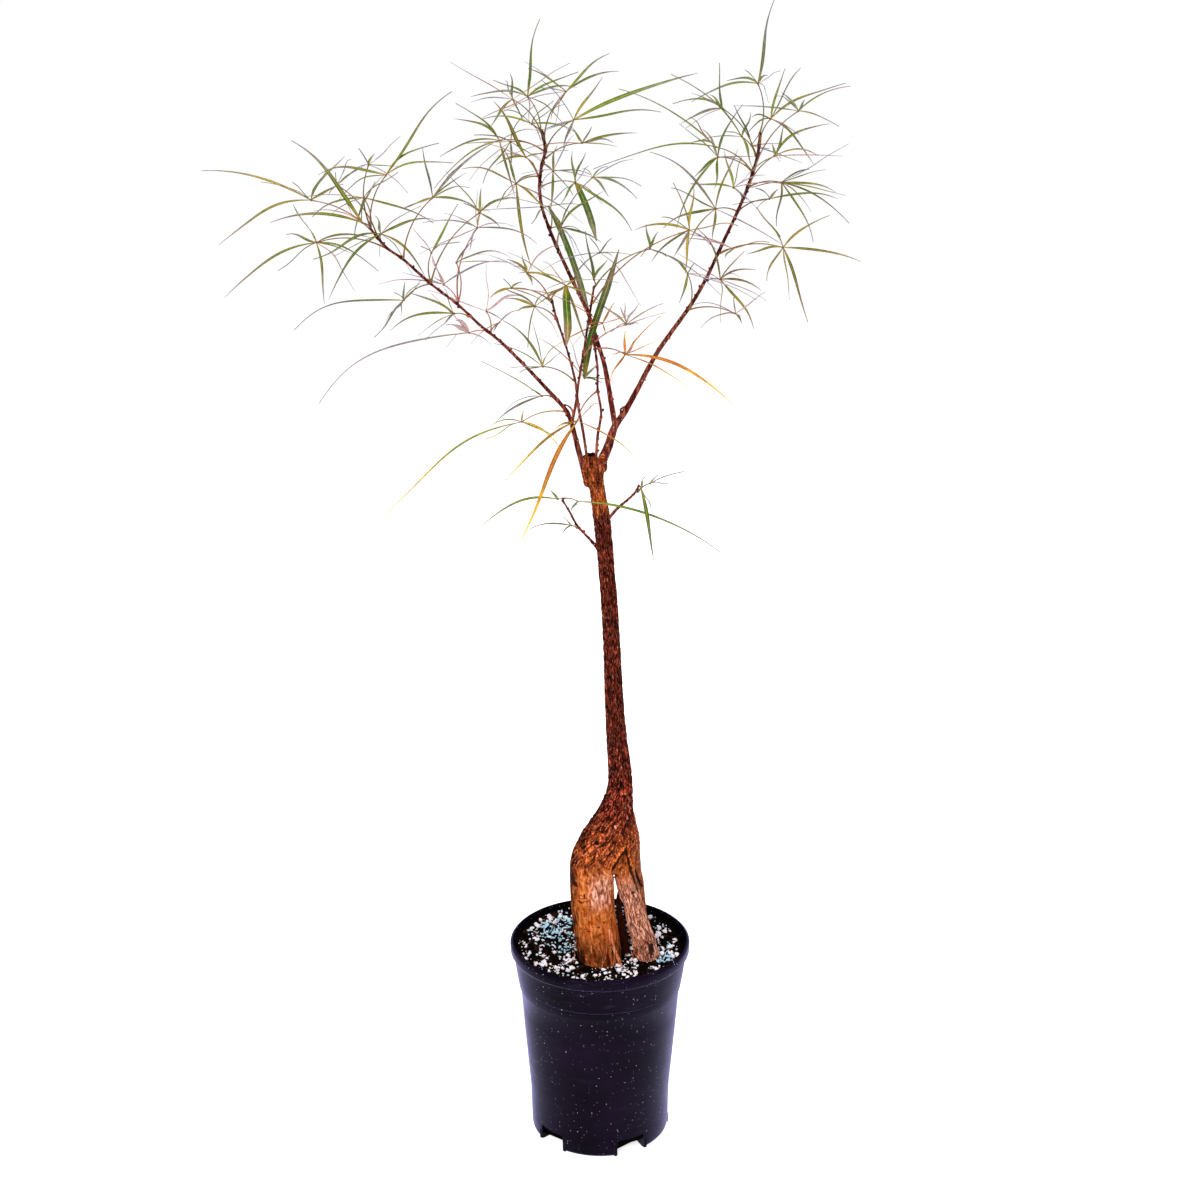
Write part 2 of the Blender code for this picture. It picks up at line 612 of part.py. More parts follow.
def bud_place(stem, height, leaves, side):
    """A bud sits on its stem's front or back, turned a little towards its leaves."""
    line, radii = stem_line(stem)
    k = stem_at(stem, height)
    ahead = (line[min(k + 1, len(line) - 1)] - line[max(k - 1, 0)]).normalized()
    middle = sum((Vector((leaf[0], 0, leaf[1])) for leaf in leaves), Vector()) / len(leaves)
    towards = (middle - seen(line[k]) * Vector((1, 0, 1))).normalized() * BUD_LEAN + Vector((0, side, 0))
    out = (towards - ahead * towards.dot(ahead)).normalized()
    bud_radius = BUD_RADIUS if len(leaves) > 1 else BUD_RADIUS * LONE_BUD
    return line[k] + out * (radii[k] + SEAT_GAP + BUD_RISE * bud_radius), bud_radius


def stalk_line(bud, hub_seen):
    """A stalk rises out of its bud and bends over to its hub."""
    bud_seen = seen(bud)
    bow = math.copysign(STALK_BOW, hub_seen.x - bud_seen.x)
    return [sight(*p) for p in arch(bud_seen, hub_seen, bow, 6)]


def clearest(space, ways, keep_clear):
    """The first of several ways that keeps clear of what is placed, or else the one with most room."""
    best_room, best_way = -math.inf, None
    for way in ways:
        room = keep_clear(space, way)
        if room > best_room + 0.01:
            best_room, best_way = room, way
        if room >= CLEAR:
            break
    return best_way


def stalk_room(space, stalk):
    """Room round a stalk away from its bud, and round its hub."""
    room = space.room(fill_line(stalk, 2), STALK_RADIUS, stalk[0])
    return min(room, space.room([stalk[-1]], HUB_RADIUS + 0.6))


def grow_stalk(space, bud, across, up, lean):
    ways = (stalk_line(bud, Vector((across, lean + shift, up))) for shift in HUB_SHIFTS)
    return clearest(space, ways, stalk_room)


def grow_leaflets(space, hub, blades, draw):
    """Each leaflet of a leaf as its way, width and roll. Short ones in view reach more in depth."""
    longest = max(blade[1] for blade in blades)
    reach = YOUNG_REACH if longest <= YOUNG_LENGTH else max(LEAFLET_REACH, longest)
    hub_seen = seen(hub)
    leaflets = []
    for k, (bearing, length, *width) in enumerate(blades):
        wide = width[0] if width else LEAFLET
        turn = math.radians(bearing)
        end = hub_seen + Vector((math.cos(turn), 0, math.sin(turn))) * length
        depth = 0.7 * math.sqrt(max(reach ** 2 - length ** 2, 0)) * draw.uniform(0.6, 1)
        end.y += min(depth, MAX_DEPTH) * (1 if k % 2 else -1)
        bow = BOW * math.cos(turn) + draw.uniform(-0.03, 0.03)
        roll = draw.uniform(-0.6, 0.6)
        ways = ([sight(*place) for place in arch(hub_seen, end + Vector((0, shift, 0)), bow, 10)]
                for shift in TIP_SHIFTS)
        way = clearest(space, ways, lambda space, way: space.room(fill_line(way, 2)[2:], 0.5 * wide))
        leaflets.append((way, wide, roll))
    return leaflets


def wood_clearance():
    """The trunk and the stems as placed beads."""
    space = Clearance()
    lines = wood_lines() + [stem_line(name) for name in STEMS]
    for line, radii in lines:
        for a, b, radius in zip(line, line[1:], radii):
            space.add(fill_line([a, b], WOOD_SPACING), radius)
    return space


def grow_leaves():
    """Works out every leaf. Each is turned or bent in depth until it clears what is already placed."""
    draw = random.Random(LEAF_SEED)
    space = wood_clearance()
    sprays = []
    for number, (stem, height, tint, leaves) in enumerate(SPRAYS):
        side = -1 if number % 2 else 1
        bud, bud_radius = bud_place(stem, height, leaves, side)
        bud_seen = seen(bud)
        grown_leaves = []
        for leaf_number, (across, up, blades) in enumerate(leaves):
            space.settle()
            away = math.hypot(across - bud_seen.x, up - bud_seen.z)
            lean = bud.y + side * (2 + 0.35 * away + 13 * leaf_number)
            stalk = grow_stalk(space, bud, across, up, lean)
            leaflets = grow_leaflets(space, stalk[-1], blades, draw)
            space.add(fill_line(stalk, WOOD_SPACING), STALK_RADIUS)
            for way, wide, _ in leaflets:
                space.add(fill_line(way, WOOD_SPACING), 0.5 * wide)
            grown_leaves.append((stalk, leaflets))
        space.add([bud], bud_radius)
        sprays.append((stem, tint, bud, bud_radius, grown_leaves))
    return sprays


def leaflet(way, width, roll):
    """Three-edged blade, flat above and keeled below, that tapers to a thin edge at its tip."""
    length = (way[-1] - way[0]).length
    cuts = next(cuts for longest, cuts in BLADE_CUTS if length < longest)
    points, faces = [], []
    for cut in cuts + (10,):
        ahead = (way[min(cut + 1, 10)] - way[max(cut - 1, 0)]).normalized()
        facing = Vector((math.sin(roll), -0.85, 0.45 + 0.4 * math.cos(roll)))
        across = ahead.cross(facing).normalized()
        above = across.cross(ahead)
        centre = way[cut] if cut else way[0] + ahead * ROOT_SINK
        if cut == 10:
            points += [way[cut] + above * LEAFLET_TIP / 2, way[cut] - above * LEAFLET_TIP / 2]
        else:
            half = width * BLADE_SHARES[cut] / 2
            points += [centre - across * half + above * LEAFLET_THICK / 3,
                       centre + across * half + above * LEAFLET_THICK / 3,
                       centre - above * LEAFLET_THICK * 2 / 3]
    faces.append((0, 1, 2))
    for i in range(len(cuts) - 1):
        for k in range(3):
            low, low_next = 3 * i + k, 3 * i + (k + 1) % 3
            faces.append((low, low_next, low_next + 3, low + 3))
    left = 3 * len(cuts) - 3
    right, keel, top, low = left + 1, left + 2, left + 3, left + 4
    faces += [(left, right, top), (left, top, low, keel), (right, keel, low, top)]
    return points, faces


def bead(centre, radius, turn=0.0):
    """Eight-faced bead, turned about its upright axis."""
    bearings = [turn + k * math.pi / 2 for k in range(4)]
    points = [centre + Vector((math.cos(bearing), math.sin(bearing), 0)) * radius for bearing in bearings]
    points += [centre + Vector((0, 0, radius)), centre - Vector((0, 0, radius))]
    faces = [(k, (k + 1) % 4, 4) for k in range(4)] + [((k + 1) % 4, k, 5) for k in range(4)]
    return points, faces


def make_spray(name, material, grown_spray, stem, attempt):
    """One spray: its bud with every stalk, hub and leaflet joined, seated on its stem."""
    bud, bud_radius, leaves = grown_spray
    turn = FIRST_TURN + TRY_TURN * attempt
    parts = []
    for stalk, leaflets in leaves:
        line = stalk[::3] if (stalk[-1] - stalk[0]).length < LONG_STALK else stalk[::2]
        radii = [STALK_RADIUS * 1.3] + [STALK_RADIUS] * (len(line) - 1)
        parts.append(piece("stalk", tube(line, radii, 3)))
        parts.append(piece("hub", bead(stalk[-1], HUB_RADIUS, turn)))
        parts += [piece("leaflet", leaflet(way, width, roll + TRY_ROLL * attempt))
                  for way, width, roll in leaflets]
    spray = piece(name, bead(bud, bud_radius, turn), material)
    solver = "MANIFOLD" if attempt else "EXACT"
    closed = combine(spray, parts, "UNION", solver) and combine(spray, [stem], "DIFFERENCE", solver)
    remove(parts)
    return spray, closed


def make_sprays(cutters):
    """Every spray. One that doesn't close is made again with its beads and leaflets turned a little."""
    counts = {}
    for stem, tint, *grown_spray in grow_leaves():
        counts[stem] = counts.get(stem, 0) + 1
        name = f"{stem}_leaf_{counts[stem]:02d}"
        material = finish(f"{tint} leaf", TINTS[tint], 0.5)
        for attempt in range(TRIES):
            spray, closed = make_spray(name, material, grown_spray, cutters[f"{stem} cutter"], attempt)
            if closed:
                break
            remove([spray])


def main():
    for obj in list(bpy.data.objects):
        bpy.data.objects.remove(obj)
    make_pot()
    make_soil()
    make_trunk()
    cutters = make_stems()
    make_sprays({cutter.name: cutter for cutter in cutters})
    remove(cutters)
    for obj in bpy.data.objects:
        obj.data.shade_smooth()
        obj.data.set_sharp_from_angle(angle=math.radians(40))


main()
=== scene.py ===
"""Looks of the potted bottle tree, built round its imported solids.

Places are in millimetres until a mesh is made. Stems and leaves follow the same lines as the solids.
"""
import math
import random
from collections import namedtuple
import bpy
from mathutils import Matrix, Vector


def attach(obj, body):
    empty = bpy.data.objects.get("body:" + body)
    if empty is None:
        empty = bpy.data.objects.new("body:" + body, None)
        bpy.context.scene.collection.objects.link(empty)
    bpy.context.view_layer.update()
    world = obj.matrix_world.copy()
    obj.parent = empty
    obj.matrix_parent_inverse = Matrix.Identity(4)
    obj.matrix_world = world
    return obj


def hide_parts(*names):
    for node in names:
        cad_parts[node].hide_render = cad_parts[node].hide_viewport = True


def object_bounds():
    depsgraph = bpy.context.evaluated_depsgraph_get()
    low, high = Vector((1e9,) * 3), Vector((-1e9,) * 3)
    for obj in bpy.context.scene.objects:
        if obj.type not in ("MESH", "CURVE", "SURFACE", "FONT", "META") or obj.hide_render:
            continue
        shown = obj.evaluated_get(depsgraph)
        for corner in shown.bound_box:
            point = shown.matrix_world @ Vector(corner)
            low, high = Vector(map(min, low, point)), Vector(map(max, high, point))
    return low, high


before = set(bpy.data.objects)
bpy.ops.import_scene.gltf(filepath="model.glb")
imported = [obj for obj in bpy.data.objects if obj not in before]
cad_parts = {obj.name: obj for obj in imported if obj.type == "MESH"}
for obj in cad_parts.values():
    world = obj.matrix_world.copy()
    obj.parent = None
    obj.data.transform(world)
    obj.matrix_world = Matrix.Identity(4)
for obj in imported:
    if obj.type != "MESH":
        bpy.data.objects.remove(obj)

from types import SimpleNamespace

import bmesh
import bpy
import numpy as np
from mathutils import Matrix, Vector, noise
from mathutils.kdtree import KDTree

CAD_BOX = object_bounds()
MM = 0.001
SEAT_GAP = 0.3

# The front view that the plant's places are given in
EYE_DISTANCE = 1493.0
EYE_HEIGHT = 975.0

# Pot: a number one nursery pot, 165 mm across its rolled rim
POT_HEIGHT = 191.0
RIM_RADIUS = 82.5
RIM_DEPTH = 11.0
NECK_RADIUS = 79.4
BAND_HEIGHT = 147.0
BAND_RADIUS = 75.1
BAND_STEP = 1.4
BASE_RADIUS = 64.0
WALL = 1.5
NOTCH_COUNT = 5
NOTCH_FIRST_DEG = -135.0
NOTCH_WIDTH_DEG = 25.0
NOTCH_HEIGHT = 16.0
NOTCH_RADIUS = 58.0
CHANNEL_ROOF = 8.0
CHANNEL_RADIUS = 47.0

# Soil: fills the pot to a little under the rim
SOIL_TOP = 178.0

# Trunk and root legs: (across, depth, up, radius), and how many steps smooth each span of a line
TRUNK_LINE = (
    (13, -4, 264, 9), (15, -3, 284, 12.4), (16.5, -1, 303, 13), (17, 0, 324, 12.4), (18, 0, 347, 10.8),
    (17, 0, 366, 9.8), (15, 0, 386, 9.0), (12.5, 0, 424, 8.1), (10, 0, 480, 7.3), (7.8, 0, 516, 7.0),
    (4.3, 0, 561, 6.9), (1.5, 0, 588, 7.3), (-2.3, 0, 614, 6.4), (-5.5, 0, 631, 7.8), (-8, 0, 641, 7.4),
    (-8.5, 0, 646, 6),
)
LEFT_LEG = (
    (18, 0, 345, 8.5), (14.5, -1, 322, 12.6), (6, -3, 300, 16.4), (-4.5, -6, 280, 17.8),
    (-8.5, -8, 262, 18.2), (-8, -10, 240, 18.8), (-5, -12, 214, 19.8), (-1.5, -13, 190, 20.2),
    (1, -14, 168, 18), (2, -14, 142, 9),
)
RIGHT_LEG = (
    (20, 0, 322, 9), (22, -1, 296, 10.5), (22, -2, 276, 9.8), (23.5, -4, 258, 8.4), (28, -6, 238, 8.2),
    (35, -8, 209, 9.6), (41.5, -9, 186, 10.8), (45, -10, 164, 10), (49, -10, 138, 4),
)
BACK_LEG = (
    (21, 6, 318, 8), (28, 10, 290, 9), (32.5, 14, 262, 6.8), (35, 18, 236, 5.8), (38, 20, 206, 5.4),
    (40, 22, 176, 5), (42, 23, 146, 3),
)
FRONT_ROOT = ((8, -27, 214, 2.4), (12, -28, 196, 1.8), (19, -29, 178, 1.7), (24, -29, 160, 1.2))
WOOD_KNOTS = ((TRUNK_LINE, 1), (LEFT_LEG, 2), (RIGHT_LEG, 2), (BACK_LEG, 1), (FRONT_ROOT, 1))
# Thin root between the legs, painted dark to stand for the shade there
SHADED_INNER_ROOT = (
    (25, 0, 264, 2.0), (21.5, 1, 247, 2.2), (17.6, 3, 231, 2.8), (18, 1, 214, 3.2), (22, -2, 192, 4.2),
    (25, -3, 166, 3.5),
)

# Stems: first and last depth, first and last radius, then (across, up) from the foot to the tip
STEMS = {
    "right_branch": (-2, 28, 4.6, 1.2, (
        (-1, 634), (7, 652), (12, 668), (21, 682), (33, 704), (49, 734), (73, 768), (87, 792), (97, 814),
        (112, 847), (120, 867), (127, 891), (129, 909))),
    "left_branch": (-2, -30, 2.8, 1.0, (
        (-11, 624), (-18, 648), (-23, 668), (-28, 682), (-40, 696), (-62, 720), (-83, 741), (-99, 754),
        (-118, 772), (-140, 789), (-162, 809), (-175, 818), (-188, 834))),
    "centre_branch": (0, 80, 2.4, 1.3, (
        (13, 668), (9, 692), (4, 720), (-2, 740), (-10, 765), (-23, 792), (-36, 820), (-46, 846),
        (-49, 866), (-47, 884), (-44, 896), (-47, 911))),
    "inner_shoot_left": (-1, -48, 1.3, 0.9, (
        (-10, 634), (-14, 663), (-18, 685), (-21, 709), (-28, 736), (-36, 760), (-40, 776))),
    "inner_shoot_middle": (-5, -16, 1.3, 0.9, (
        (-24, 670), (-20, 690), (-18, 706), (-14, 730), (-10, 755), (-7, 773), (-5, 786))),
    "inner_shoot_right": (-2, -34, 1.3, 0.9, (
        (-4, 634), (-2, 661), (1, 681), (-2, 700), (-2, 717), (-4, 734), (-6, 746))),
    "trunk_shoot_left": (0, -30, 1.5, 0.9, ((4, 555), (-9, 571), (-19, 582), (-26, 595), (-32, 605))),
    "trunk_shoot_right": (0, -26, 1.6, 0.9, ((2, 582), (14, 597), (23, 605), (30, 612), (33, 618))),
}
STEM_STEPS = 2
STEM_TAPER = 3
STEM_LEAN = 1.3

# Leaves. A spray is the leaves that grow from one bud: under its stem, the bud's height, its tint, and for
# each leaf the hub's place and the leaflets as (bearing, length as seen, width where it isn't LEAFLET).
# A bearing of 0 points right and 90 up.
SPRAYS = {
    "left_branch": (
        (681, "yellow", (-66, 673, (215, 150), (205, 35), (325, 40, 2.6), (80, 10), (185, 25))),
        (698, "olive", (-49, 695, (210, 45), (150, 10))),
        (746, "pink", (-109, 748, (160, 20, 2.8), (135, 15, 3.2), (205, 140)),
         (-94, 766, (25, 30, 2.8), (330, 15)), (-83, 757, (235, 10), (30, 20))),
        (761, "olive", (-121, 764, (155, 40, 2.6), (195, 55), (225, 10))),
        (776, "pink", (-129, 788, (110, 25, 3.2), (140, 10), (20, 55)),
         (-100, 834, (175, 45), (345, 50), (250, 20), (75, 20)), (-118, 806, (5, 45), (270, 20), (50, 25))),
        (787, "olive", (-138, 814, (150, 10), (60, 45), (20, 25)),
         (-98, 846, (150, 15), (325, 20), (20, 35), (85, 20))),
        (794, "grey", (-162, 775, (140, 10), (195, 95), (230, 40), (85, 15))),
        (808, "olive", (-136, 858, (100, 40), (40, 70), (345, 40, 2.6), (200, 25))),
        (816, "olive",
         (-232, 822, (120, 35, 2.8), (165, 25), (210, 90), (215, 40), (275, 50), (335, 55), (5, 45))),
        (822, "green", (-179, 829, (200, 60, 2.6), (15, 45, 2.6), (105, 15), (315, 50), (230, 70))),
        (828, "olive", (-235, 856, (165, 90), (205, 85), (135, 20), (25, 30), (60, 30), (50, 45)),
         (-213, 868, (95, 10), (225, 10))),
        (833, "olive", (-192, 858, (200, 45), (255, 35), (35, 35, 2.8), (340, 60)),
         (-173, 876, (50, 85, 2.8), (30, 50), (10, 55), (180, 55)),
         (-194, 838, (130, 85, 3.6), (180, 75, 2.6), (70, 35, 2.8)), (-187, 884, (120, 15), (60, 10))),
    ),
    "centre_branch": (
        (793, "grey", (0, 814, (50, 15), (345, 10), (125, 15))),
        (818, "grey", (-6, 874, (335, 40), (350, 40), (310, 20), (35, 15))),
        (836, "green", (-32, 834, (40, 45), (340, 35), (120, 20, 2.6), (280, 20)),
         (-42, 851, (290, 100, 3.8), (225, 20))),
        (864, "green", (-20, 870, (70, 25), (290, 50, 3.2), (320, 60, 2.6), (95, 25), (235, 20))),
        (873, "olive", (-68, 869, (165, 45), (280, 70, 2.8), (320, 35), (230, 25), (25, 20), (110, 30)),
         (-60, 890, (120, 50, 3.2), (300, 30), (195, 25))),
        (881, "olive", (-38, 879, (265, 35, 2.6), (355, 30), (80, 20), (310, 25))),
        (889, "orange", (-14, 901, (0, 25), (10, 45), (60, 15), (125, 15))),
        (894, "green", (-21, 919, (130, 40), (20, 105, 3.6), (5, 70, 2.8), (55, 40), (250, 25))),
        (898, "olive", (-72, 902, (170, 30), (270, 20), (55, 35), (235, 40)),
         (-81, 903, (140, 45), (155, 40), (215, 65), (195, 50), (285, 45))),
        (904, "olive", (-27, 941, (150, 35), (40, 45), (20, 45), (240, 25)),
         (-55, 916, (155, 25), (175, 40), (45, 25), (300, 15), (350, 35))),
        (910, "green", (-58, 937, (80, 60, 2.8), (155, 30), (180, 45), (25, 45), (10, 40)),
         (-70, 935, (95, 20), (295, 20), (230, 30))),
    ),
    "inner_shoot_left": (
        (704, "olive", (-48, 720, (130, 50), (195, 20), (60, 20))),
        (762, "orange", (-54, 770, (150, 30), (260, 35), (195, 15), (165, 25), (35, 25))),
        (775, "olive", (-28, 787, (270, 50, 3.8), (215, 20), (165, 40), (290, 55), (335, 30), (25, 15)),
         (-73, 785, (130, 10), (30, 10), (205, 20)), (-60, 797, (145, 20), (5, 10), (105, 15), (295, 10))),
    ),
    "inner_shoot_middle": (
        (714, "green", (-13, 710, (75, 110, 3.6), (345, 15), (50, 15))),
        (734, "pink", (22, 755, (110, 15, 2.8), (60, 20), (30, 35), (5, 10), (205, 15))),
        (755, "orange", (2, 756, (60, 20), (290, 10))),
        (772, "olive",
         (73, 832, (110, 40), (85, 35), (155, 25), (180, 45), (5, 40), (220, 40), (265, 35), (240, 25))),
        (784, "green", (-5, 792, (100, 40, 3.2), (55, 20), (125, 20)),
         (41, 817, (100, 20, 2.6), (65, 15), (220, 10), (335, 15))),
    ),
    "inner_shoot_right": (
        (704, "orange", (-19, 674, (220, 80, 2.6), (245, 120, 3.8), (200, 20))),
        (734, "orange", (21, 730, (335, 100, 2.8), (50, 20), (240, 25, 2.6), (90, 20), (180, 10))),
    ),
    "right_branch": (
        (770, "orange", (112, 764, (95, 15), (305, 10)), (72, 797, (135, 20), (255, 25), (55, 10))),
        (790, "olive", (99, 792, (115, 45, 3.2), (15, 30), (50, 30), (345, 35), (305, 50, 2.6))),
        (815, "orange", (109, 817, (10, 30), (230, 10)),
         (150, 818, (125, 40, 2.6), (290, 65, 2.6), (350, 65), (35, 45), (190, 30), (245, 30))),
        (848, "olive", (94, 849, (140, 70), (155, 40), (70, 50), (200, 45, 2.6), (265, 25), (235, 40)),
         (138, 857, (50, 10), (0, 55), (145, 15))),
        (860, "olive", (108, 866, (75, 25), (105, 30), (175, 35, 2.8), (320, 15))),
        (866, "olive",
         (147, 870, (25, 25, 2.8), (190, 25), (350, 45), (330, 65), (300, 55), (265, 35, 2.6))),
        (871, "olive", (141, 891, (75, 25), (30, 50), (0, 35), (105, 10))),
        (876, "green", (93, 898, (150, 90), (190, 100), (170, 20)),
         (95, 890, (65, 45), (240, 65), (265, 25), (120, 25), (220, 25))),
        (883, "grey", (159, 926, (60, 10), (340, 35), (25, 45), (135, 20))),
        (894, "green", (98, 928, (95, 35, 2.8), (135, 15), (200, 35), (175, 40)),
         (114, 906, (140, 75), (70, 20), (290, 25), (165, 15)), (122, 899, (115, 35), (350, 15), (60, 15))),
        (902, "olive", (137, 920, (175, 15), (315, 50), (60, 45), (75, 40), (210, 20), (25, 65))),
        (908, "grey", (126, 947, (80, 65, 2.8), (175, 25), (195, 55), (40, 10), (135, 15))),
    ),
    "trunk_shoot_left": (
        (582, "grey", (-25, 583, (185, 35), (130, 10), (225, 10))),
        (604, "green", (-19, 604, (340, 130, 2.6), (240, 10)), (-36, 606, (200, 70), (130, 10))),
    ),
    "trunk_shoot_right": (
        (614, "green", (35, 616, (280, 65, 3.2), (295, 20), (70, 10)),
         (43, 620, (20, 30, 3.2), (0, 15), (50, 10))),
    ),
}
LEAF_SEED = 5
LEAFLET = 2.1
LEAFLET_REACH = 72.0
YOUNG_LENGTH = 25.0
YOUNG_REACH = 30.0
MAX_DEPTH = 50.0
STALK_RADIUS = 0.6
HUB_RADIUS = 1.9
BUD_RADIUS = 2.1
LONE_BUD = 0.75
BUD_LEAN = 0.7
BUD_RISE = 0.45
HUB_LEAN = 2
HUB_LEAN_SHARE = 0.35
LEAVES_APART = 13
STALK_BOW = 0.1
BOW = 0.09
CLEAR = 1.4
WIDEST = 13.0
FOOT_REACH = 7.0
WOOD_SPACING = 1.8
HUB_SHIFTS = (0, -8, 8, -16, 16, -24, 24, -34, 34, -46, 46, -60, 60)
TIP_SHIFTS = (0, -7, 7, -14, 14, -21, 21, -28, 28, -38, 38, -50, 50, -64, 64, -80, 80)

# What scene.py adds to the solids' form: the pot and the soil
CHANNEL_SIDE = 2.8
RIM_LOW = POT_HEIGHT - RIM_DEPTH
# The pot's outside, from the foot up: corners as radius and height, each with points (out, up) from it
POT_CORNERS = (
    (BASE_RADIUS, 0, ((-3.4, 0), (-1.6, 0.5), (-0.4, 1.8), (0, 3.6), (0.3, 15), (0.8, 40), (3.4, 70),
                      (6.0, 100), (7.9, 124))),
    (BAND_RADIUS, BAND_HEIGHT, ((-1.5, -1.4), (-1.2, -0.9), (-0.3, -0.5), (0, 0.2), (0.9, 8), (1.3, 8.4),
                                (2.8, 19))),
    (NECK_RADIUS, RIM_LOW, ((-0.7, -4.5), (0, -1.2))),
    (RIM_RADIUS, RIM_LOW, ((-3.6, -0.3), (-1.5, 0), (-0.6, 0.6), (-0.1, 1.7))),
    (RIM_RADIUS, POT_HEIGHT, ((0, -3), (-0.4, -1.5), (-1.3, -0.5), (-2.6, 0), (-3.9, -0.4), (-4.9, -1.4),
                              (-5.4, -2.8))),
)
POT_STEPS = 120
WALL_WAVE = 0.45
WAVE_LENGTH = 45.0
SOIL_STEPS = 140
SOIL_FINE_RINGS = 46
SOIL_BACK_RISE = 7.5
CHIPS = 520
LUMPS = 1120
GRAINS = 420
LUMP_SEED = 3
STREW_SEED = 21

# The wood: its skin, the thin roots, the furrows and what marks the bark
SKIN_VOXEL = 0.89
SKIN_EASE = 14
ROOTLETS = 14
ROOTLET_SEED = 8
CRACKS_ROUND = 6.6
CRACK_LENGTH = 12.0
FLOW_RADIUS = 9.0
LIMBS_APART = 400
CUT_TOP = 646.0
CUT_CENTRE = (-8.5, 0.0)
CUT_RADIUS = 4.6
# Creases on the front, as across and up: under the lip, and beside the third root. Each is sunk and painted
# dark as shade
SHADED_CREASES = (
    ((23.4, 286), (14.4, 272), (10.7, 265)), ((23, 284), (26.5, 270), (30, 258), (34.5, 246), (38.4, 236)),
)
# Marks on the front: across, up, half width, half height, and whether it is pale
BARK_MARKS = (
    (-22.0, 254.8, 2.4, 2.0, False), (-18.2, 239.8, 2.8, 1.1, False), (-24.0, 262.0, 1.2, 3.0, False),
    (-14.0, 246.0, 0.8, 2.4, False), (47.0, 188.0, 2.6, 6.5, False), (12.0, 230.0, 0.6, 1.8, False),
    (-10.0, 213.0, 1.6, 0.6, False), (4.0, 221.0, 1.4, 0.5, False), (13.9, 309.4, 1.2, 1.3, True),
    (30.0, 243.0, 1.3, 1.3, False),
)
# Where a stem leaves the trunk: its name, the share of it that the collar wraps, and the extra thickness
COLLARS = (
    ("right_branch", 0.09, 0.6), ("left_branch", 0.08, 1.0), ("trunk_shoot_left", 0.22, 1.6),
    ("trunk_shoot_right", 0.20, 1.8),
)
# Swellings in the fork of the legs and on the crown of the trunk, as across, depth, up and radius
KNOBS = (
    (12.8, -6.0, 261.5, 4.4), (-10.0, -2.0, 621.0, 4.2), (1.0, -1.5, 634.0, 5.2), (-9.5, -3.5, 632.0, 4.6),
    (-12.4, -1.5, 641.0, 3.4),
)
# How far a stem swells at a bud and at a node, and how far along it
BUD_SWELLING = (0.35, 1.6)
NODE_SWELLING = (0.16, 1.0)
# Dead twigs that arch off a branch, as across and up from the front
DEAD_TWIGS = {
    "left_branch": ((-22.4, 679.0), (-23.6, 683.4), (-26.6, 686.6), (-30.2, 688.0)),
    "right_branch": ((17.8, 680.2), (17.4, 683.4), (19.8, 685.8), (23.8, 687.4)),
}

# The leaves: blades, and the young thread-like leaflets between them
BLADE_ROWS = 30
SHADE_SEED = 17
WISPS = 4
WISP_SEED = 29
WISP_TRIES = 7
BOX_MARGIN = 2
WISP_REACH = (26, 66)
WISP_WIDTH = (0.7, 1.15)
WISP_TINTS = (
    (0.34, 0.26, 0.38), (0.30, 0.23, 0.34), (0.44, 0.24, 0.27), (0.40, 0.20, 0.20), (0.30, 0.24, 0.05),
)
# Tints that some leaflets of a leaf lean to
ODD_TINTS = ((0.24, 0.19, 0.25), (0.34, 0.21, 0.015), (0.050, 0.100, 0.008), (0.19, 0.22, 0.006))
ODD_SHARE = 0.3
BUD_TINT = (0.10, 0.028, 0.02)
# Sprays whose broad leaflets are a bright green and broader still
BRIGHT = (0.052, 0.120, 0.006)
BRIGHT_FROM = 3.1
BRIGHT_WIDER = 1.65
BRIGHT_SPRAYS = (
    ("centre_branch", 836), ("centre_branch", 864), ("inner_shoot_left", 775), ("inner_shoot_middle", 714),
    ("inner_shoot_middle", 784),
)
# Looks whose thin and broad leaflets differ: both tints, the width that parts them, and how much broader
THINNER = 0.8
TWO_TINTS = {
    "pink": ((0.27, 0.22, 0.25), (0.60, 0.33, 0.33), 2.7, 1.5),
    "yellow": ((0.25, 0.25, 0.012), (0.68, 0.46, 0.012), 2.5, 1.0),
}
# Sprays that look greener or more golden than the finish they share, by stem and by the bud's height
LOOKS_LIKE = {
    ("centre_branch", 889): "olive", ("inner_shoot_left", 762): "golden", ("right_branch", 815): "golden",
    ("right_branch", 790): "golden", ("right_branch", 770): "olive", ("inner_shoot_middle", 772): "golden",
    ("centre_branch", 873): "golden", ("inner_shoot_left", 775): "golden",
}

# Each look's blade, tip and stalk colours
SHADES = {
    "green": ((0.100, 0.160, 0.006), (0.22, 0.19, 0.13), (0.20, 0.13, 0.018)),
    "olive": ((0.140, 0.150, 0.008), (0.25, 0.18, 0.17), (0.22, 0.10, 0.022)),
    "golden": ((0.215, 0.170, 0.008), (0.34, 0.20, 0.10), (0.26, 0.11, 0.022)),
    "grey": ((0.150, 0.165, 0.070), (0.28, 0.23, 0.31), (0.20, 0.14, 0.080)),
    "pink": ((0.560, 0.310, 0.310), (0.50, 0.33, 0.42), (0.42, 0.14, 0.10)),
    "yellow": ((0.370, 0.310, 0.010), (0.80, 0.52, 0.02), (0.35, 0.20, 0.02)),
    "orange": ((0.500, 0.135, 0.006), (0.95, 0.58, 0.02), (0.42, 0.09, 0.03)),
}

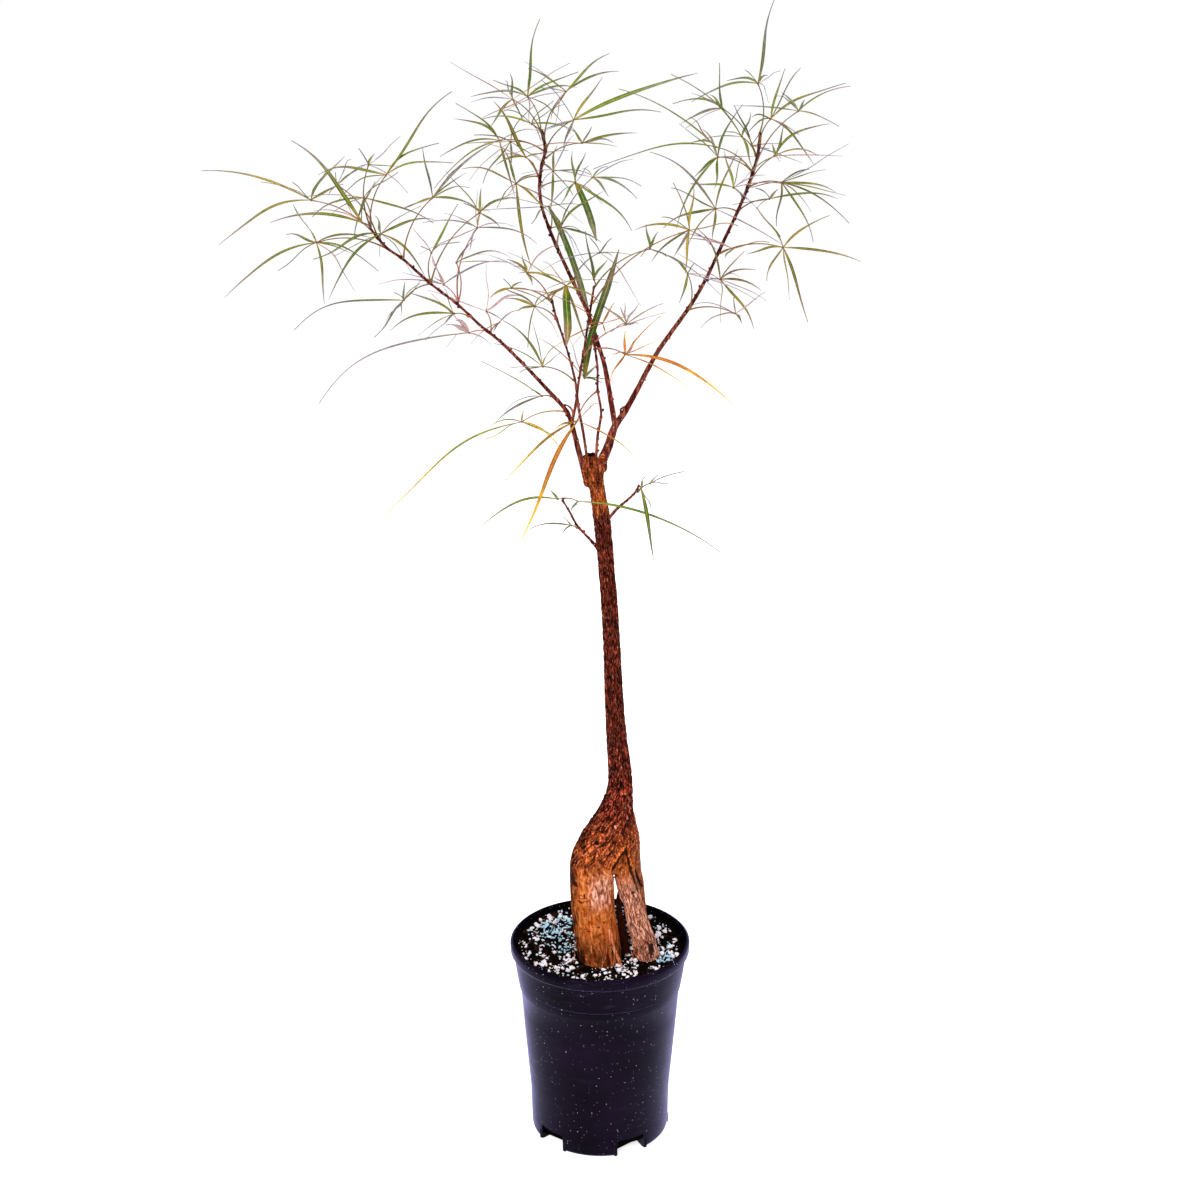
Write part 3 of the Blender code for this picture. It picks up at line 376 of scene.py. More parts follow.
# Studio in metres: the camera, the world, the floor, and the lamps as name, place, size and power
VIEW_PLACE = (0, -1.4934, 0.9755)
VIEW_DOWN_DEG = 17.1
VIEW_LENS = 54
SENSOR_WIDTH = 36
WORLD_LIGHT = 0.30
FLOOR_SEEN_GLOW = 0.73
FLOOR_GLOW = 0.25
FLOOR_RADIUS = 40
FLOOR_HEIGHT = -0.0005
LAMP_AIM = (0, 0, 0.45)
LAMPS = (
    ("key", (-0.8, -2.3, 2.0), 1.1, 56.0), ("fill", (2.2, -1.0, 1.5), 2.0, 9.0),
    ("back", (0.6, 2.4, 2.4), 2.0, 14.0), ("top", (0.1, -0.3, 2.9), 1.2, 38.0),
)


def smooth_line(knots, steps):
    """Points on a smooth curve through knots, each a vector of any size, with steps to each span."""
    ends = [knots[0] * 2 - knots[1], *knots, knots[-1] * 2 - knots[-2]]
    line = []
    for a, b, c, d in zip(ends, ends[1:], ends[2:], ends[3:]):
        for k in range(steps):
            t = k / steps
            line.append(0.5 * (2 * b + (c - a) * t + (2 * a - 5 * b + 4 * c - d) * t ** 2
                               + (3 * b - a - 3 * c + d) * t ** 3))
    line.append(knots[-1])
    return line


def sight(across, depth, up):
    """Place at a depth that is seen from the front at (across, up) on the plane of the trunk."""
    scale = 1 + depth / EYE_DISTANCE
    return Vector((across * scale, depth, EYE_HEIGHT + (up - EYE_HEIGHT) * scale))


def smooth_tube(knots, steps):
    """Smooth centre line and radii through knots of (x, y, z, radius)."""
    places = smooth_line([Vector(knot) for knot in knots], steps)
    return [p.xyz for p in places], [p.w for p in places]


def fine_tube(line, radii, steps):
    """A line and its radii with more points on the same smooth curve."""
    return smooth_tube([(*place, radius) for place, radius in zip(line, radii)], steps)


def stem_line(name):
    """Smooth centre line of a stem, and its radius at each point."""
    depth_first, depth_last, thick, thin, seen_knots = STEMS[name]
    knots = []
    for i, (across, up) in enumerate(seen_knots):
        share = i / (len(seen_knots) - 1)
        place = sight(across, depth_first + (depth_last - depth_first) * share ** STEM_LEAN, up)
        knots.append((*place, thin + (thick - thin) * (1 - share) ** STEM_TAPER))
    return smooth_tube(knots, STEM_STEPS)


def nearest_to(line, height, seen_from_front=False):
    """Index of the point of a line that is nearest a height, or is seen nearest it from the front."""
    heights = [(seen(place) if seen_from_front else place).z for place in line]
    return min(range(len(line)), key=lambda i: abs(heights[i] - height))


def heading(line, k):
    """The way that a line runs at its point k."""
    return (line[min(k + 1, len(line) - 1)] - line[max(k - 1, 0)]).normalized()


def square_to(ahead, way):
    """The share of a way that is square to the way ahead, at length 1."""
    return (way - ahead * way.dot(ahead)).normalized()


def arch(start, end, bow, count):
    """Seen line from start to end, bowed to the left of its way by a share of its length."""
    way = end - start
    left = Vector((-way.z, 0, way.x))
    line = []
    for k in range(count + 1):
        t = k / count
        line.append(start + way * t + left * bow * 4 * t * (1 - t))
    return line


def seen(place):
    """Across, depth and up of a place as the sight lines carry it to the plane of the trunk."""
    scale = 1 + place.y / EYE_DISTANCE
    return Vector((place.x / scale, place.y, EYE_HEIGHT + (place.z - EYE_HEIGHT) / scale))


def search_tree(places):
    tree = KDTree(len(places))
    for i, place in enumerate(places):
        tree.insert(place, i)
    tree.balance()
    return tree


class Clearance:
    """What has been placed, as round beads, and how far a new line keeps from it."""

    def __init__(self):
        self.beads = []
        self.tree = None

    def add(self, line, radius):
        self.beads += [(place.copy(), radius) for place in line]

    def add_leaf(self, stalk, leaflets):
        self.add(fill_line(stalk, WOOD_SPACING), STALK_RADIUS)
        for way, wide, _ in leaflets:
            self.add(fill_line(way, WOOD_SPACING), 0.5 * wide)

    def settle(self):
        self.tree = search_tree([place for place, _ in self.beads])

    def room(self, line, radius, foot=None):
        """Least gap from a line to the beads, at most CLEAR. Points near its foot are passed over."""
        least = CLEAR
        for place in line:
            if foot is not None and (place - foot).length < FOOT_REACH:
                continue
            for _, i, distance in self.tree.find_range(place, radius + WIDEST + CLEAR):
                least = min(least, distance - radius - self.beads[i][1])
        return least


def fill_line(line, spacing):
    """The same line with points no further apart than a spacing."""
    full = [line[0]]
    for a, b in zip(line, line[1:]):
        count = max(1, math.ceil((b - a).length / spacing))
        full.extend(a.lerp(b, k / count) for k in range(1, count + 1))
    return full


def bud_place(stem, height, leaves, side):
    """A bud sits on its stem's front or back, turned a little towards its leaves."""
    line, radii = stem_line(stem)
    k = nearest_to(line, height, seen_from_front=True)
    ahead = heading(line, k)
    middle = sum((Vector((leaf[0], 0, leaf[1])) for leaf in leaves), Vector()) / len(leaves)
    towards = (middle - seen(line[k]) * Vector((1, 0, 1))).normalized() * BUD_LEAN + Vector((0, side, 0))
    out = square_to(ahead, towards)
    bud_radius = BUD_RADIUS if len(leaves) > 1 else BUD_RADIUS * LONE_BUD
    return line[k] + out * (radii[k] + SEAT_GAP + BUD_RISE * bud_radius), bud_radius


def stalk_line(bud, hub_seen):
    """A stalk rises out of its bud and bends over to its hub."""
    bud_seen = seen(bud)
    bow = math.copysign(STALK_BOW, hub_seen.x - bud_seen.x)
    return [sight(*p) for p in arch(bud_seen, hub_seen, bow, 6)]


def clearest(space, ways, keep_clear):
    """The first of several ways that keeps clear of what is placed, or else the one with most room."""
    best_room, best_way = -math.inf, None
    for way in ways:
        room = keep_clear(space, way)
        if room > best_room + 0.01:
            best_room, best_way = room, way
        if room >= CLEAR:
            break
    return best_way


def stalk_room(space, stalk):
    """Room round a stalk away from its bud, and round its hub."""
    room = space.room(fill_line(stalk, 2), STALK_RADIUS, stalk[0])
    return min(room, space.room([stalk[-1]], HUB_RADIUS + 0.6))


def grow_stalk(space, bud, across, up, lean):
    ways = (stalk_line(bud, Vector((across, lean + shift, up))) for shift in HUB_SHIFTS)
    return clearest(space, ways, stalk_room)


def grow_leaflets(space, hub, blades, draw):
    """Each leaflet of a leaf as its way, width and roll. Short ones in view reach more in depth."""
    longest = max(blade[1] for blade in blades)
    reach = YOUNG_REACH if longest <= YOUNG_LENGTH else max(LEAFLET_REACH, longest)
    hub_seen = seen(hub)
    leaflets = []
    for k, (bearing, length, *width) in enumerate(blades):
        wide = width[0] if width else LEAFLET
        turn = math.radians(bearing)
        end = hub_seen + Vector((math.cos(turn), 0, math.sin(turn))) * length
        depth = 0.7 * math.sqrt(max(reach ** 2 - length ** 2, 0)) * draw.uniform(0.6, 1)
        end.y += min(depth, MAX_DEPTH) * (1 if k % 2 else -1)
        bow = BOW * math.cos(turn) + draw.uniform(-0.03, 0.03)
        roll = draw.uniform(-0.6, 0.6)
        ways = ([sight(*place) for place in arch(hub_seen, end + Vector((0, shift, 0)), bow, 10)]
                for shift in TIP_SHIFTS)
        way = clearest(space, ways, lambda space, way: space.room(fill_line(way, 2)[2:], 0.5 * wide))
        leaflets.append((way, wide, roll))
    return leaflets


def wood_clearance():
    """The trunk and the stems as placed beads."""
    space = Clearance()
    for line, radii in WOOD + [stem_line(name) for name in STEMS]:
        for a, b, radius in zip(line, line[1:], radii):
            space.add(fill_line([a, b], WOOD_SPACING), radius)
    return space


def grow_leaves():
    """Works out every leaf. Each is turned or bent in depth until it clears what is already placed."""
    draw = random.Random(LEAF_SEED)
    space = wood_clearance()
    sprays = []
    for stem, rows in SPRAYS.items():
        for number, (height, tint, *leaves) in enumerate(rows, 1):
            side = -1 if len(sprays) % 2 else 1
            bud, bud_radius = bud_place(stem, height, leaves, side)
            bud_seen = seen(bud)
            grown = []
            for leaf_number, (across, up, *blades) in enumerate(leaves):
                space.settle()
                away = math.hypot(across - bud_seen.x, up - bud_seen.z)
                lean = bud.y + side * (HUB_LEAN + HUB_LEAN_SHARE * away + LEAVES_APART * leaf_number)
                stalk = grow_stalk(space, bud, across, up, lean)
                leaflets = grow_leaflets(space, stalk[-1], blades, draw)
                space.add_leaf(stalk, leaflets)
                grown.append((stalk, leaflets))
            space.add([bud], bud_radius)
            sprays.append(Spray(stem, number, height, tint, bud, bud_radius, grown))
    return sprays


WOOD = [smooth_tube(knots, steps) for knots, steps in WOOD_KNOTS]
LIMBS = WOOD[:4] + [smooth_tube(SHADED_INNER_ROOT, steps=2)]
Spray = namedtuple("Spray", "stem number height tint bud bud_radius leaves")
SPRAY_LIST = grow_leaves()


# Modelling by hand

def only(*objects):
    """Selects these objects alone, with the first one active."""
    bpy.ops.object.select_all(action="DESELECT")
    for obj in objects:
        obj.select_set(True)
    bpy.context.view_layer.objects.active = objects[0]


def edit(obj, mode="VERT"):
    only(obj)
    bpy.ops.object.mode_set(mode="EDIT")
    bpy.ops.mesh.select_mode(type=mode)


def leave():
    bpy.ops.object.mode_set(mode="OBJECT")


def newest(name):
    obj = bpy.context.object
    obj.name = name
    obj.data.name = name
    return obj


def settle(obj):
    """Puts an object's place, turn and size into its mesh."""
    only(obj)
    bpy.ops.object.transform_apply(location=True, rotation=True, scale=True)


def wear(obj, *materials):
    """Gives a piece these materials alone."""
    obj.data.materials.clear()
    for material in materials:
        obj.data.materials.append(material)


def apply_modifiers(obj):
    only(obj)
    for modifier in list(obj.modifiers):
        bpy.ops.object.modifier_apply(modifier=modifier.name)


def select_where(obj, kind, test):
    """In edit mode, selects only the verts or edges that pass a test."""
    shape = bmesh.from_edit_mesh(obj.data)
    items = getattr(shape, kind)
    for item in items:
        item.select_set(False)
    for item in items:
        item.select_set(test(item))
    shape.select_flush_mode()
    bmesh.update_edit_mesh(obj.data)


def join(name, objects):
    only(*objects)
    if len(objects) > 1:
        bpy.ops.object.join()
    return newest(name)


def discard(*objects):
    for obj in objects:
        bpy.data.objects.remove(obj)


def smooth_shaded(obj, degrees):
    only(obj)
    bpy.ops.object.shade_smooth_by_angle(angle=math.radians(degrees))


def spun(name, outline, steps):
    """Turned piece: an outline of (radius, height) drawn point by point, then spun about Z."""
    bpy.ops.mesh.primitive_plane_add(size=MM)
    obj = newest(name)
    edit(obj)
    bpy.ops.mesh.select_all(action="SELECT")
    bpy.ops.mesh.merge(type="CENTER")
    places = [Vector((radius, 0, height)) * MM for radius, height in outline]
    bpy.ops.transform.translate(value=places[0])
    for last, place in zip(places, places[1:]):
        bpy.ops.mesh.extrude_region_move(TRANSFORM_OT_translate={"value": place - last})
    bpy.ops.mesh.select_all(action="SELECT")
    bpy.ops.mesh.spin(steps=steps, angle=2 * math.pi, center=(0, 0, 0), axis=(0, 0, 1))
    bpy.ops.mesh.select_all(action="SELECT")
    bpy.ops.mesh.remove_doubles(threshold=0.01 * MM)
    bpy.ops.mesh.select_all(action="SELECT")
    bpy.ops.mesh.normals_make_consistent(inside=False)
    leave()
    return obj


def boolean(obj, cutters, operation):
    """Joins or cuts obj by cutters, and discards them."""
    group = bpy.data.collections.new("cutters")
    for cutter in cutters:
        group.objects.link(cutter)
    modifier = obj.modifiers.new("cut", "BOOLEAN")
    modifier.operation = operation
    modifier.operand_type = "COLLECTION"
    modifier.collection = group
    modifier.solver = "EXACT"
    apply_modifiers(obj)
    discard(*cutters)
    bpy.data.collections.remove(group)


# Straight models that are copied and bent along a line

def straight_stick(name, sides, rings):
    """Round stick from z 0 to 1 with a radius of 1, cut into rings."""
    bpy.ops.mesh.primitive_cylinder_add(vertices=sides, radius=1, depth=1, location=(0, 0, 0.5))
    stick = newest(name)
    settle(stick)
    edit(stick, "EDGE")
    select_where(stick, "edges", lambda edge: abs(edge.verts[1].co.z - edge.verts[0].co.z) > 0.5)
    bpy.ops.mesh.subdivide(number_cuts=rings - 1)
    leave()
    return stick


def straight_blade(name, rows, fold, thick):
    """Folded blade from z 0 to 1 and x -1 to 1. Its depth is in millimetres, with the keel down."""
    bpy.ops.mesh.primitive_grid_add(x_subdivisions=4, y_subdivisions=rows, size=2)
    blade = newest(name)
    blade.rotation_euler.x = math.radians(90)
    blade.location.z = 1
    settle(blade)
    blade.scale.z = 0.5
    settle(blade)
    edit(blade)
    select_where(blade, "verts", lambda point: abs(point.co.x) < 0.1)
    bpy.ops.transform.translate(value=(0, -fold, 0))
    select_where(blade, "verts", lambda point: abs(point.co.x) > 0.9)
    bpy.ops.transform.translate(value=(0, fold * 0.4, 0))
    leave()
    shell = blade.modifiers.new("thickness", "SOLIDIFY")
    shell.thickness = thick
    shell.offset = 0
    apply_modifiers(blade)
    return blade


def bud_model(name):
    """Blunt scaly bud, pointed at z 1.6."""
    bpy.ops.mesh.primitive_uv_sphere_add(segments=10, ring_count=8, radius=1)
    bud = newest(name)
    edit(bud)
    select_where(bud, "verts", lambda point: point.co.z > 0.3)
    bpy.ops.transform.translate(value=(0, 0, 0.25))
    select_where(bud, "verts", lambda point: point.co.z > 0.8)
    bpy.ops.transform.resize(value=(0.7, 0.7, 1), center_override=(0, 0, 0))
    bpy.ops.transform.translate(value=(0, 0, 0.35))
    leave()
    return bud


def rows_of(items, key):
    """A vector of each of a mesh's items, as rows."""
    values = np.empty(len(items) * 3)
    items.foreach_get(key, values)
    return values.reshape(-1, 3)


def add_object(name, data):
    obj = bpy.data.objects.new(name, data)
    bpy.context.scene.collection.objects.link(obj)
    return obj


def frames_along(line, facing):
    """Place, across and above of each point of a line."""
    places = np.array([tuple(p) for p in line])
    ahead = np.gradient(places, axis=0)
    ahead /= np.linalg.norm(ahead, axis=1)[:, None]
    across = np.cross(ahead, np.array(facing))
    across /= np.maximum(np.linalg.norm(across, axis=1), 1e-6)[:, None]
    return places, across, np.cross(across, ahead)


def bent(model, line, half_width, half_depth, facing=(0.1, -0.95, 0.3), twist=0.0, tip_twist=0.0):
    """A copy of a straight model carried along a line, as wide and deep as the given rows say."""
    co = rows_of(model.data.vertices, "co")
    share = np.clip(co[:, 2], 0, 1)
    places, across, above = frames_along(line, facing)
    at = np.linspace(0, 1, len(line))
    turn = twist + tip_twist * share
    middle, side, top = (np.stack([np.interp(share, at, rows[:, k]) for k in range(3)], axis=1)
                         for rows in (places, across, above))
    wide = np.interp(share, np.linspace(0, 1, len(half_width)), half_width) * co[:, 0]
    deep = np.interp(share, np.linspace(0, 1, len(half_depth)), half_depth) * co[:, 1]
    cos, sin = np.cos(turn), np.sin(turn)
    out = middle + side * (wide * cos - deep * sin)[:, None] + top * (wide * sin + deep * cos)[:, None]
    mesh = model.data.copy()
    mesh.vertices.foreach_set("co", (out * MM).ravel())
    return add_object(model.name, mesh)


def placed(model, place, size, up, spin=0.0):
    """A copy of a small model at a place, sized, with its z along up."""
    mesh = model.data.copy()
    turn = Vector(up).to_track_quat("Z", "Y").to_matrix().to_4x4() @ Matrix.Rotation(spin, 4, "Z")
    scale = Matrix.Diagonal((*[s * MM for s in size], 1))
    mesh.transform(Matrix.Translation(Vector(place) * MM) @ turn @ scale)
    return add_object(model.name, mesh)


def paint(obj, layer, colour):
    """Stores one colour on every point of a piece."""
    values = obj.data.color_attributes.get(layer)
    if values is None:
        values = obj.data.color_attributes.new(layer, "FLOAT_COLOR", "POINT")
    values.data.foreach_set("color", np.tile((*colour, 1.0), len(obj.data.vertices)))


def paint_points(obj, layer, rows):
    """Stores a colour for each point of a piece."""
    values = obj.data.color_attributes.new(layer, "FLOAT_COLOR", "POINT")
    values.data.foreach_set("color", np.column_stack([rows, np.ones(len(rows))]).ravel())


def points_of(obj):
    return rows_of(obj.data.vertices, "co") / MM


def move_points(obj, places):
    obj.data.vertices.foreach_set("co", (places * MM).ravel())
    obj.data.update()


def normals_of(obj):
    return rows_of(obj.data.vertex_normals, "vector")


# Materials

class Nodes:
    """Adds shader nodes to a tree. An input is linked to a socket, or set to any other value."""

    def __init__(self, tree):
        self.tree = tree

    def put(self, socket, value):
        if isinstance(value, bpy.types.NodeSocket):
            self.tree.links.new(value, socket)
        elif socket.type == "RGBA":
            socket.default_value = (*value, 1)
        else:
            socket.default_value = value

    def add(self, kind, *inputs, **settings):
        """A node, with its first inputs in order. Settings are its attributes, or more inputs by name."""
        made = self.tree.nodes.new(f"ShaderNode{kind}")
        for key, value in settings.items():
            if hasattr(made, key):
                setattr(made, key, value)
            else:
                self.put(made.inputs[key.replace("_", " ")], value)
        for socket, value in zip(made.inputs, inputs):
            self.put(socket, value)
        return made

    def spot(self):
        return self.add("TexCoord").outputs["Object"]

    def layer(self, name):
        return self.add("Attribute", attribute_name=name).outputs["Color"]

    def parts(self, value, kind):
        """The three numbers of a place, kind XYZ, or of a colour, kind Color."""
        return self.add(f"Separate{kind}", value).outputs

    def scaled(self, vector, *scale):
        return self.add("Mapping", Vector=vector, Scale=scale).outputs["Vector"]

    def noise(self, vector, scale, detail=4, roughness=0.55, distortion=0):
        made = self.add("TexNoise", Vector=vector, Scale=scale, Detail=detail, Roughness=roughness,
                        Distortion=distortion)
        return made.outputs["Fac"]

    def ramp(self, value, *stops):
        """A colour or grey that follows a value, through stops of (value, colour or grey)."""
        made = self.add("ValToRGB", value)
        elements = made.color_ramp.elements
        while len(elements) < len(stops):
            elements.new(0.5)
        for element, (position, colour) in zip(elements, stops):
            element.position = position
            element.color = (*colour, 1) if isinstance(colour, tuple) else (colour, colour, colour, 1)
        return made.outputs["Color"]

    def mix(self, share, a, b, blend="MIX"):
        """Mix of two colours."""
        made = self.add("Mix", data_type="RGBA", blend_type=blend)
        for k, value in ((0, share), (6, a), (7, b)):
            self.put(made.inputs[k], value)
        return made.outputs[2]

    def shade(self, colour, by):
        return self.mix(1.0, colour, by, "MULTIPLY")

    def maths(self, operation, *values, clamp=False):
        return self.add("Math", *values, operation=operation, use_clamp=clamp).outputs[0]

    def times(self, a, b):
        return self.maths("MULTIPLY", a, b)

    def plus(self, a, b):
        return self.maths("ADD", a, b)

    def streaks(self, vector, across, along, contrast):
        made = self.add("Group", node_tree=STREAKS, Vector=vector, Across_Scale=across, Along_Scale=along,
                        Contrast=contrast)
        return made.outputs["Streaks"]

    def specks(self, vector, scale, size, scarcity):
        made = self.add("Group", node_tree=SPECKS, Vector=vector, Scale=scale, Size=size, Scarcity=scarcity)
        return made.outputs["Specks"]

    def bump(self, height, strength, distance):
        return self.add("Bump", Height=height, Strength=strength, Distance=distance).outputs["Normal"]

    def show_to_camera(self, looked_at, lit, output):
        """The camera sees one shader, while the other lights the scene."""
        camera_ray = self.add("LightPath").outputs["Is Camera Ray"]
        chosen = self.add("MixShader", camera_ray, lit, looked_at)
        self.put(output.inputs["Surface"], chosen.outputs[0])


class Finish(Nodes):
    """The nodes of a material, with its surface shader."""

    def __init__(self, name):
        self.material = bpy.data.materials.new(name)
        self.material.use_nodes = True
        super().__init__(self.material.node_tree)
        self.shader = self.tree.nodes["Principled BSDF"]

    def look(self, **inputs):
        for name, value in inputs.items():
            self.put(self.shader.inputs[name.replace("_", " ")], value)
        return self.material


def new_group(name, result, **defaults):
    """A node group that takes a vector and some numbers: its nodes, what it is given, and its result."""
    tree = bpy.data.node_groups.new(name, "ShaderNodeTree")
    tree.interface.new_socket("Vector", in_out="INPUT", socket_type="NodeSocketVector")
    for key, value in defaults.items():
        label = key.replace("_", " ")
        tree.interface.new_socket(label, in_out="INPUT", socket_type="NodeSocketFloat").default_value = value
    tree.interface.new_socket(result, in_out="OUTPUT", socket_type="NodeSocketFloat")
    return Nodes(tree), tree.nodes.new("NodeGroupInput").outputs, tree.nodes.new("NodeGroupOutput").inputs[0]


def streaks_group():
    """Fine streaks that run up a surface, broken here and there: wood fibre, bark or leaf veins."""
    nodes, given, result = new_group("long streaks", "Streaks", Across_Scale=900, Along_Scale=90, Contrast=2)
    across, along = given["Across Scale"], given["Along Scale"]
    spread = nodes.add("CombineXYZ", across, across, along).outputs[0]
    stretched = nodes.add("VectorMath", given["Vector"], spread, operation="MULTIPLY").outputs[0]
    fibre = nodes.noise(stretched, 1, 5, 0.6, 0.4)
    strong = nodes.times(nodes.maths("SUBTRACT", fibre, 0.5), given["Contrast"])
    nodes.put(result, nodes.maths("ADD", strong, 0.5, clamp=True))
    return nodes.tree


def specks_group():
    """Small round specks, scattered: dust on plastic, pores on bark."""
    nodes, given, result = new_group("scattered specks", "Specks", Scale=300, Size=0.2, Scarcity=0.5)
    cells = nodes.add("TexVoronoi", feature="F1", Vector=given["Vector"], Scale=given["Scale"])
    near = nodes.maths("LESS_THAN", cells.outputs["Distance"], given["Size"])
    red = nodes.parts(cells.outputs["Color"], "Color")[0]
    chosen = nodes.maths("GREATER_THAN", red, given["Scarcity"])
    nodes.put(result, nodes.times(near, chosen))
    return nodes.tree


def leaf_material():
    """Blade: its own tint, paler midrib and foot, a different tip, dark edges, fine veins and mottling."""
    nodes = Finish("leaf blade")
    spot = nodes.spot()
    flat = nodes.add("UVMap", uv_map="UVMap").outputs[0]
    across, along, _ = nodes.parts(flat, "XYZ")
    tint = nodes.layer("blade tint")
    body = nodes.mix(nodes.ramp(along, (0.42, 0.0), (0.92, 1.0)), tint, nodes.layer("tip tint"))
    body = nodes.mix(nodes.ramp(along, (0.0, 0.7), (0.2, 0.0)), body, (0.46, 0.26, 0.02))
    body = nodes.shade(body, nodes.ramp(nodes.noise(spot, 160, 3), (0.3, 0.62), (0.7, 1.25)))
    off_middle = nodes.maths("ABSOLUTE", nodes.maths("SUBTRACT", across, 0.5))
    body = nodes.mix(nodes.ramp(off_middle, (0.03, 0.5), (0.09, 0.0)), body, (0.52, 0.52, 0.14))
    one_edge = nodes.ramp(across, (0.08, 0.55), (0.2, 0.0))
    body = nodes.mix(one_edge, body, nodes.shade(body, (0.35, 0.42, 0.25)))
    other_edge = nodes.ramp(across, (0.78, 0.0), (0.9, 1.0))
    broken = nodes.ramp(nodes.noise(spot, 45, 2), (0.4, 0.0), (0.6, 0.7))
    greenish = nodes.ramp(nodes.parts(tint, "Color")[0], (0.26, 1.0), (0.36, 0.1))
    purple = nodes.times(nodes.times(other_edge, broken), greenish)
    body = nodes.mix(purple, body, (0.20, 0.10, 0.13))
    veins = nodes.noise(nodes.scaled(flat, 26, 2, 1), 1, 2)
    return nodes.look(Base_Color=body, Roughness=0.5, Specular_IOR_Level=0.25,
                      Normal=nodes.bump(veins, 0.25, 0.0002))


def stalk_material():
    """Leaf stalks, hubs and buds: each in its own tint, in darker and lighter patches."""
    nodes = Finish("leaf stalk")
    spot = nodes.spot()
    patches = nodes.ramp(nodes.noise(spot, 220, 3), (0.35, 0.55), (0.7, 1.3))
    return nodes.look(Base_Color=nodes.shade(nodes.layer("blade tint"), patches), Roughness=0.55,
                      Normal=nodes.bump(nodes.noise(spot, 900, 2), 0.3, 0.0002))


def young_bark_material():
    """Stems: dark reddish brown with grey-pink bloom on old parts, maroon to the tips, and pale pores."""
    nodes = Finish("young bark")
    spot = nodes.spot()
    young = nodes.ramp(nodes.parts(spot, "XYZ")[2], (0.68, 0.0), (0.86, 1.0))
    fibre = nodes.streaks(spot, 520, 70, 2.4)
    old_bark = nodes.ramp(fibre, (0.15, (0.010, 0.001, 0.001)), (0.5, (0.110, 0.012, 0.005)),
                          (0.85, (0.40, 0.095, 0.055)))
    new_bark = nodes.ramp(fibre, (0.2, (0.006, 0.001, 0.001)), (0.55, (0.042, 0.004, 0.003)),
                          (0.9, (0.26, 0.050, 0.034)))
    body = nodes.mix(young, old_bark, new_bark)
    bloom = nodes.ramp(nodes.noise(spot, 60, 3), (0.5, 0.0), (0.75, 0.3))
    body = nodes.mix(nodes.times(bloom, 0.6), body, (0.50, 0.24, 0.18))
    pores = nodes.specks(nodes.scaled(spot, 1, 1, 0.6), 420, 0.22, 0.62)
    body = nodes.mix(nodes.times(pores, 0.7), body, (0.5, 0.33, 0.24))
    rough = nodes.plus(fibre, nodes.times(pores, 0.6))
    return nodes.look(Base_Color=body, Roughness=nodes.ramp(fibre, (0.0, 0.75), (1.0, 0.45)),
                      Specular_IOR_Level=0.10, Normal=nodes.bump(rough, 0.6, 0.0004))


def bark_material():
    """Trunk bark. The bark layer holds how golden, how deep in furrows and painted shade, and how pink each
    point is.
    """
    nodes = Finish("bark")
    spot = nodes.spot()
    golden, shade_depth, pink = nodes.parts(nodes.layer("bark layer"), "Color")
    flow = nodes.layer("bark flow")
    fibre = nodes.streaks(flow, 900, 150, 3.4)
    flakes = nodes.streaks(nodes.scaled(flow, 1.35, 1.35, 1.35), 950, 170, 4.5)
    grain = nodes.noise(spot, 700)

    dark = nodes.ramp(fibre, (0.2, (0.004, 0.0005, 0.0005)), (0.5, (0.060, 0.005, 0.0025)),
                      (0.8, (0.27, 0.038, 0.017)))
    pale = nodes.times(nodes.ramp(flakes, (0.86, 0.0), (0.94, 1.0)), 0.55)
    dark = nodes.mix(pale, dark, (0.60, 0.19, 0.11))
    gold = nodes.ramp(fibre, (0.0, (0.28, 0.040, 0.006)), (0.4, (0.60, 0.126, 0.020)),
                      (1.0, (0.86, 0.27, 0.070)))
    rosy = nodes.ramp(fibre, (0.05, (0.12, 0.032, 0.018)), (0.5, (0.46, 0.18, 0.115)),
                      (0.9, (0.84, 0.52, 0.42)))
    body = nodes.mix(pink, nodes.mix(golden, dark, gold), rosy)
    # Darker in furrows, cracks and creases and lighter on ridge tops: partly the bark's own colour, partly
    # painted shade and painted highlight
    body = nodes.shade(body, nodes.ramp(shade_depth, (0.2, 0.10), (0.55, 0.9), (0.85, 1.7)))

    cords = nodes.ramp(nodes.noise(nodes.scaled(flow, 620, 620, 270), 1, 2, 0.5, 1.6),
                       (0.36, (0.22, 0.10, 0.08)), (0.47, (0.85, 0.80, 0.80)), (0.60, (2.3, 2.3, 2.2)))
    corded = nodes.ramp(nodes.parts(spot, "XYZ")[2], (0.262, 0.0), (0.285, 1.0), (0.345, 1.0), (0.40, 0.7))
    body = nodes.mix(corded, body, nodes.shade(body, cords))

    dashes = nodes.ramp(nodes.noise(nodes.scaled(flow, 190, 190, 620), 1, 2, 0.5), (0.625, 0.0), (0.66, 1.0))
    dashes = nodes.times(nodes.times(dashes, golden), nodes.maths("SUBTRACT", 1.0, pink, clamp=True))
    body = nodes.mix(nodes.times(dashes, 0.7), body, (0.06, 0.012, 0.006))
    pocks = nodes.times(nodes.specks(nodes.scaled(spot, 0.8, 1, 1.4), 250, 0.20, 0.72), golden)
    scars = nodes.maths("MAXIMUM", nodes.specks(nodes.scaled(spot, 1, 1, 1.5), 95, 0.15, 0.80), pocks)
    body = nodes.mix(nodes.times(scars, 0.8), body, (0.03, 0.008, 0.005))

    rough = nodes.plus(fibre, nodes.times(grain, 0.5))
    rough = nodes.maths("SUBTRACT", rough, nodes.times(dashes, 0.5))
    return nodes.look(Base_Color=body, Roughness=nodes.ramp(grain, (0.2, 0.62), (0.8, 0.9)),
                      Specular_IOR_Level=0.08, Normal=nodes.bump(rough, 0.9, 0.0010))


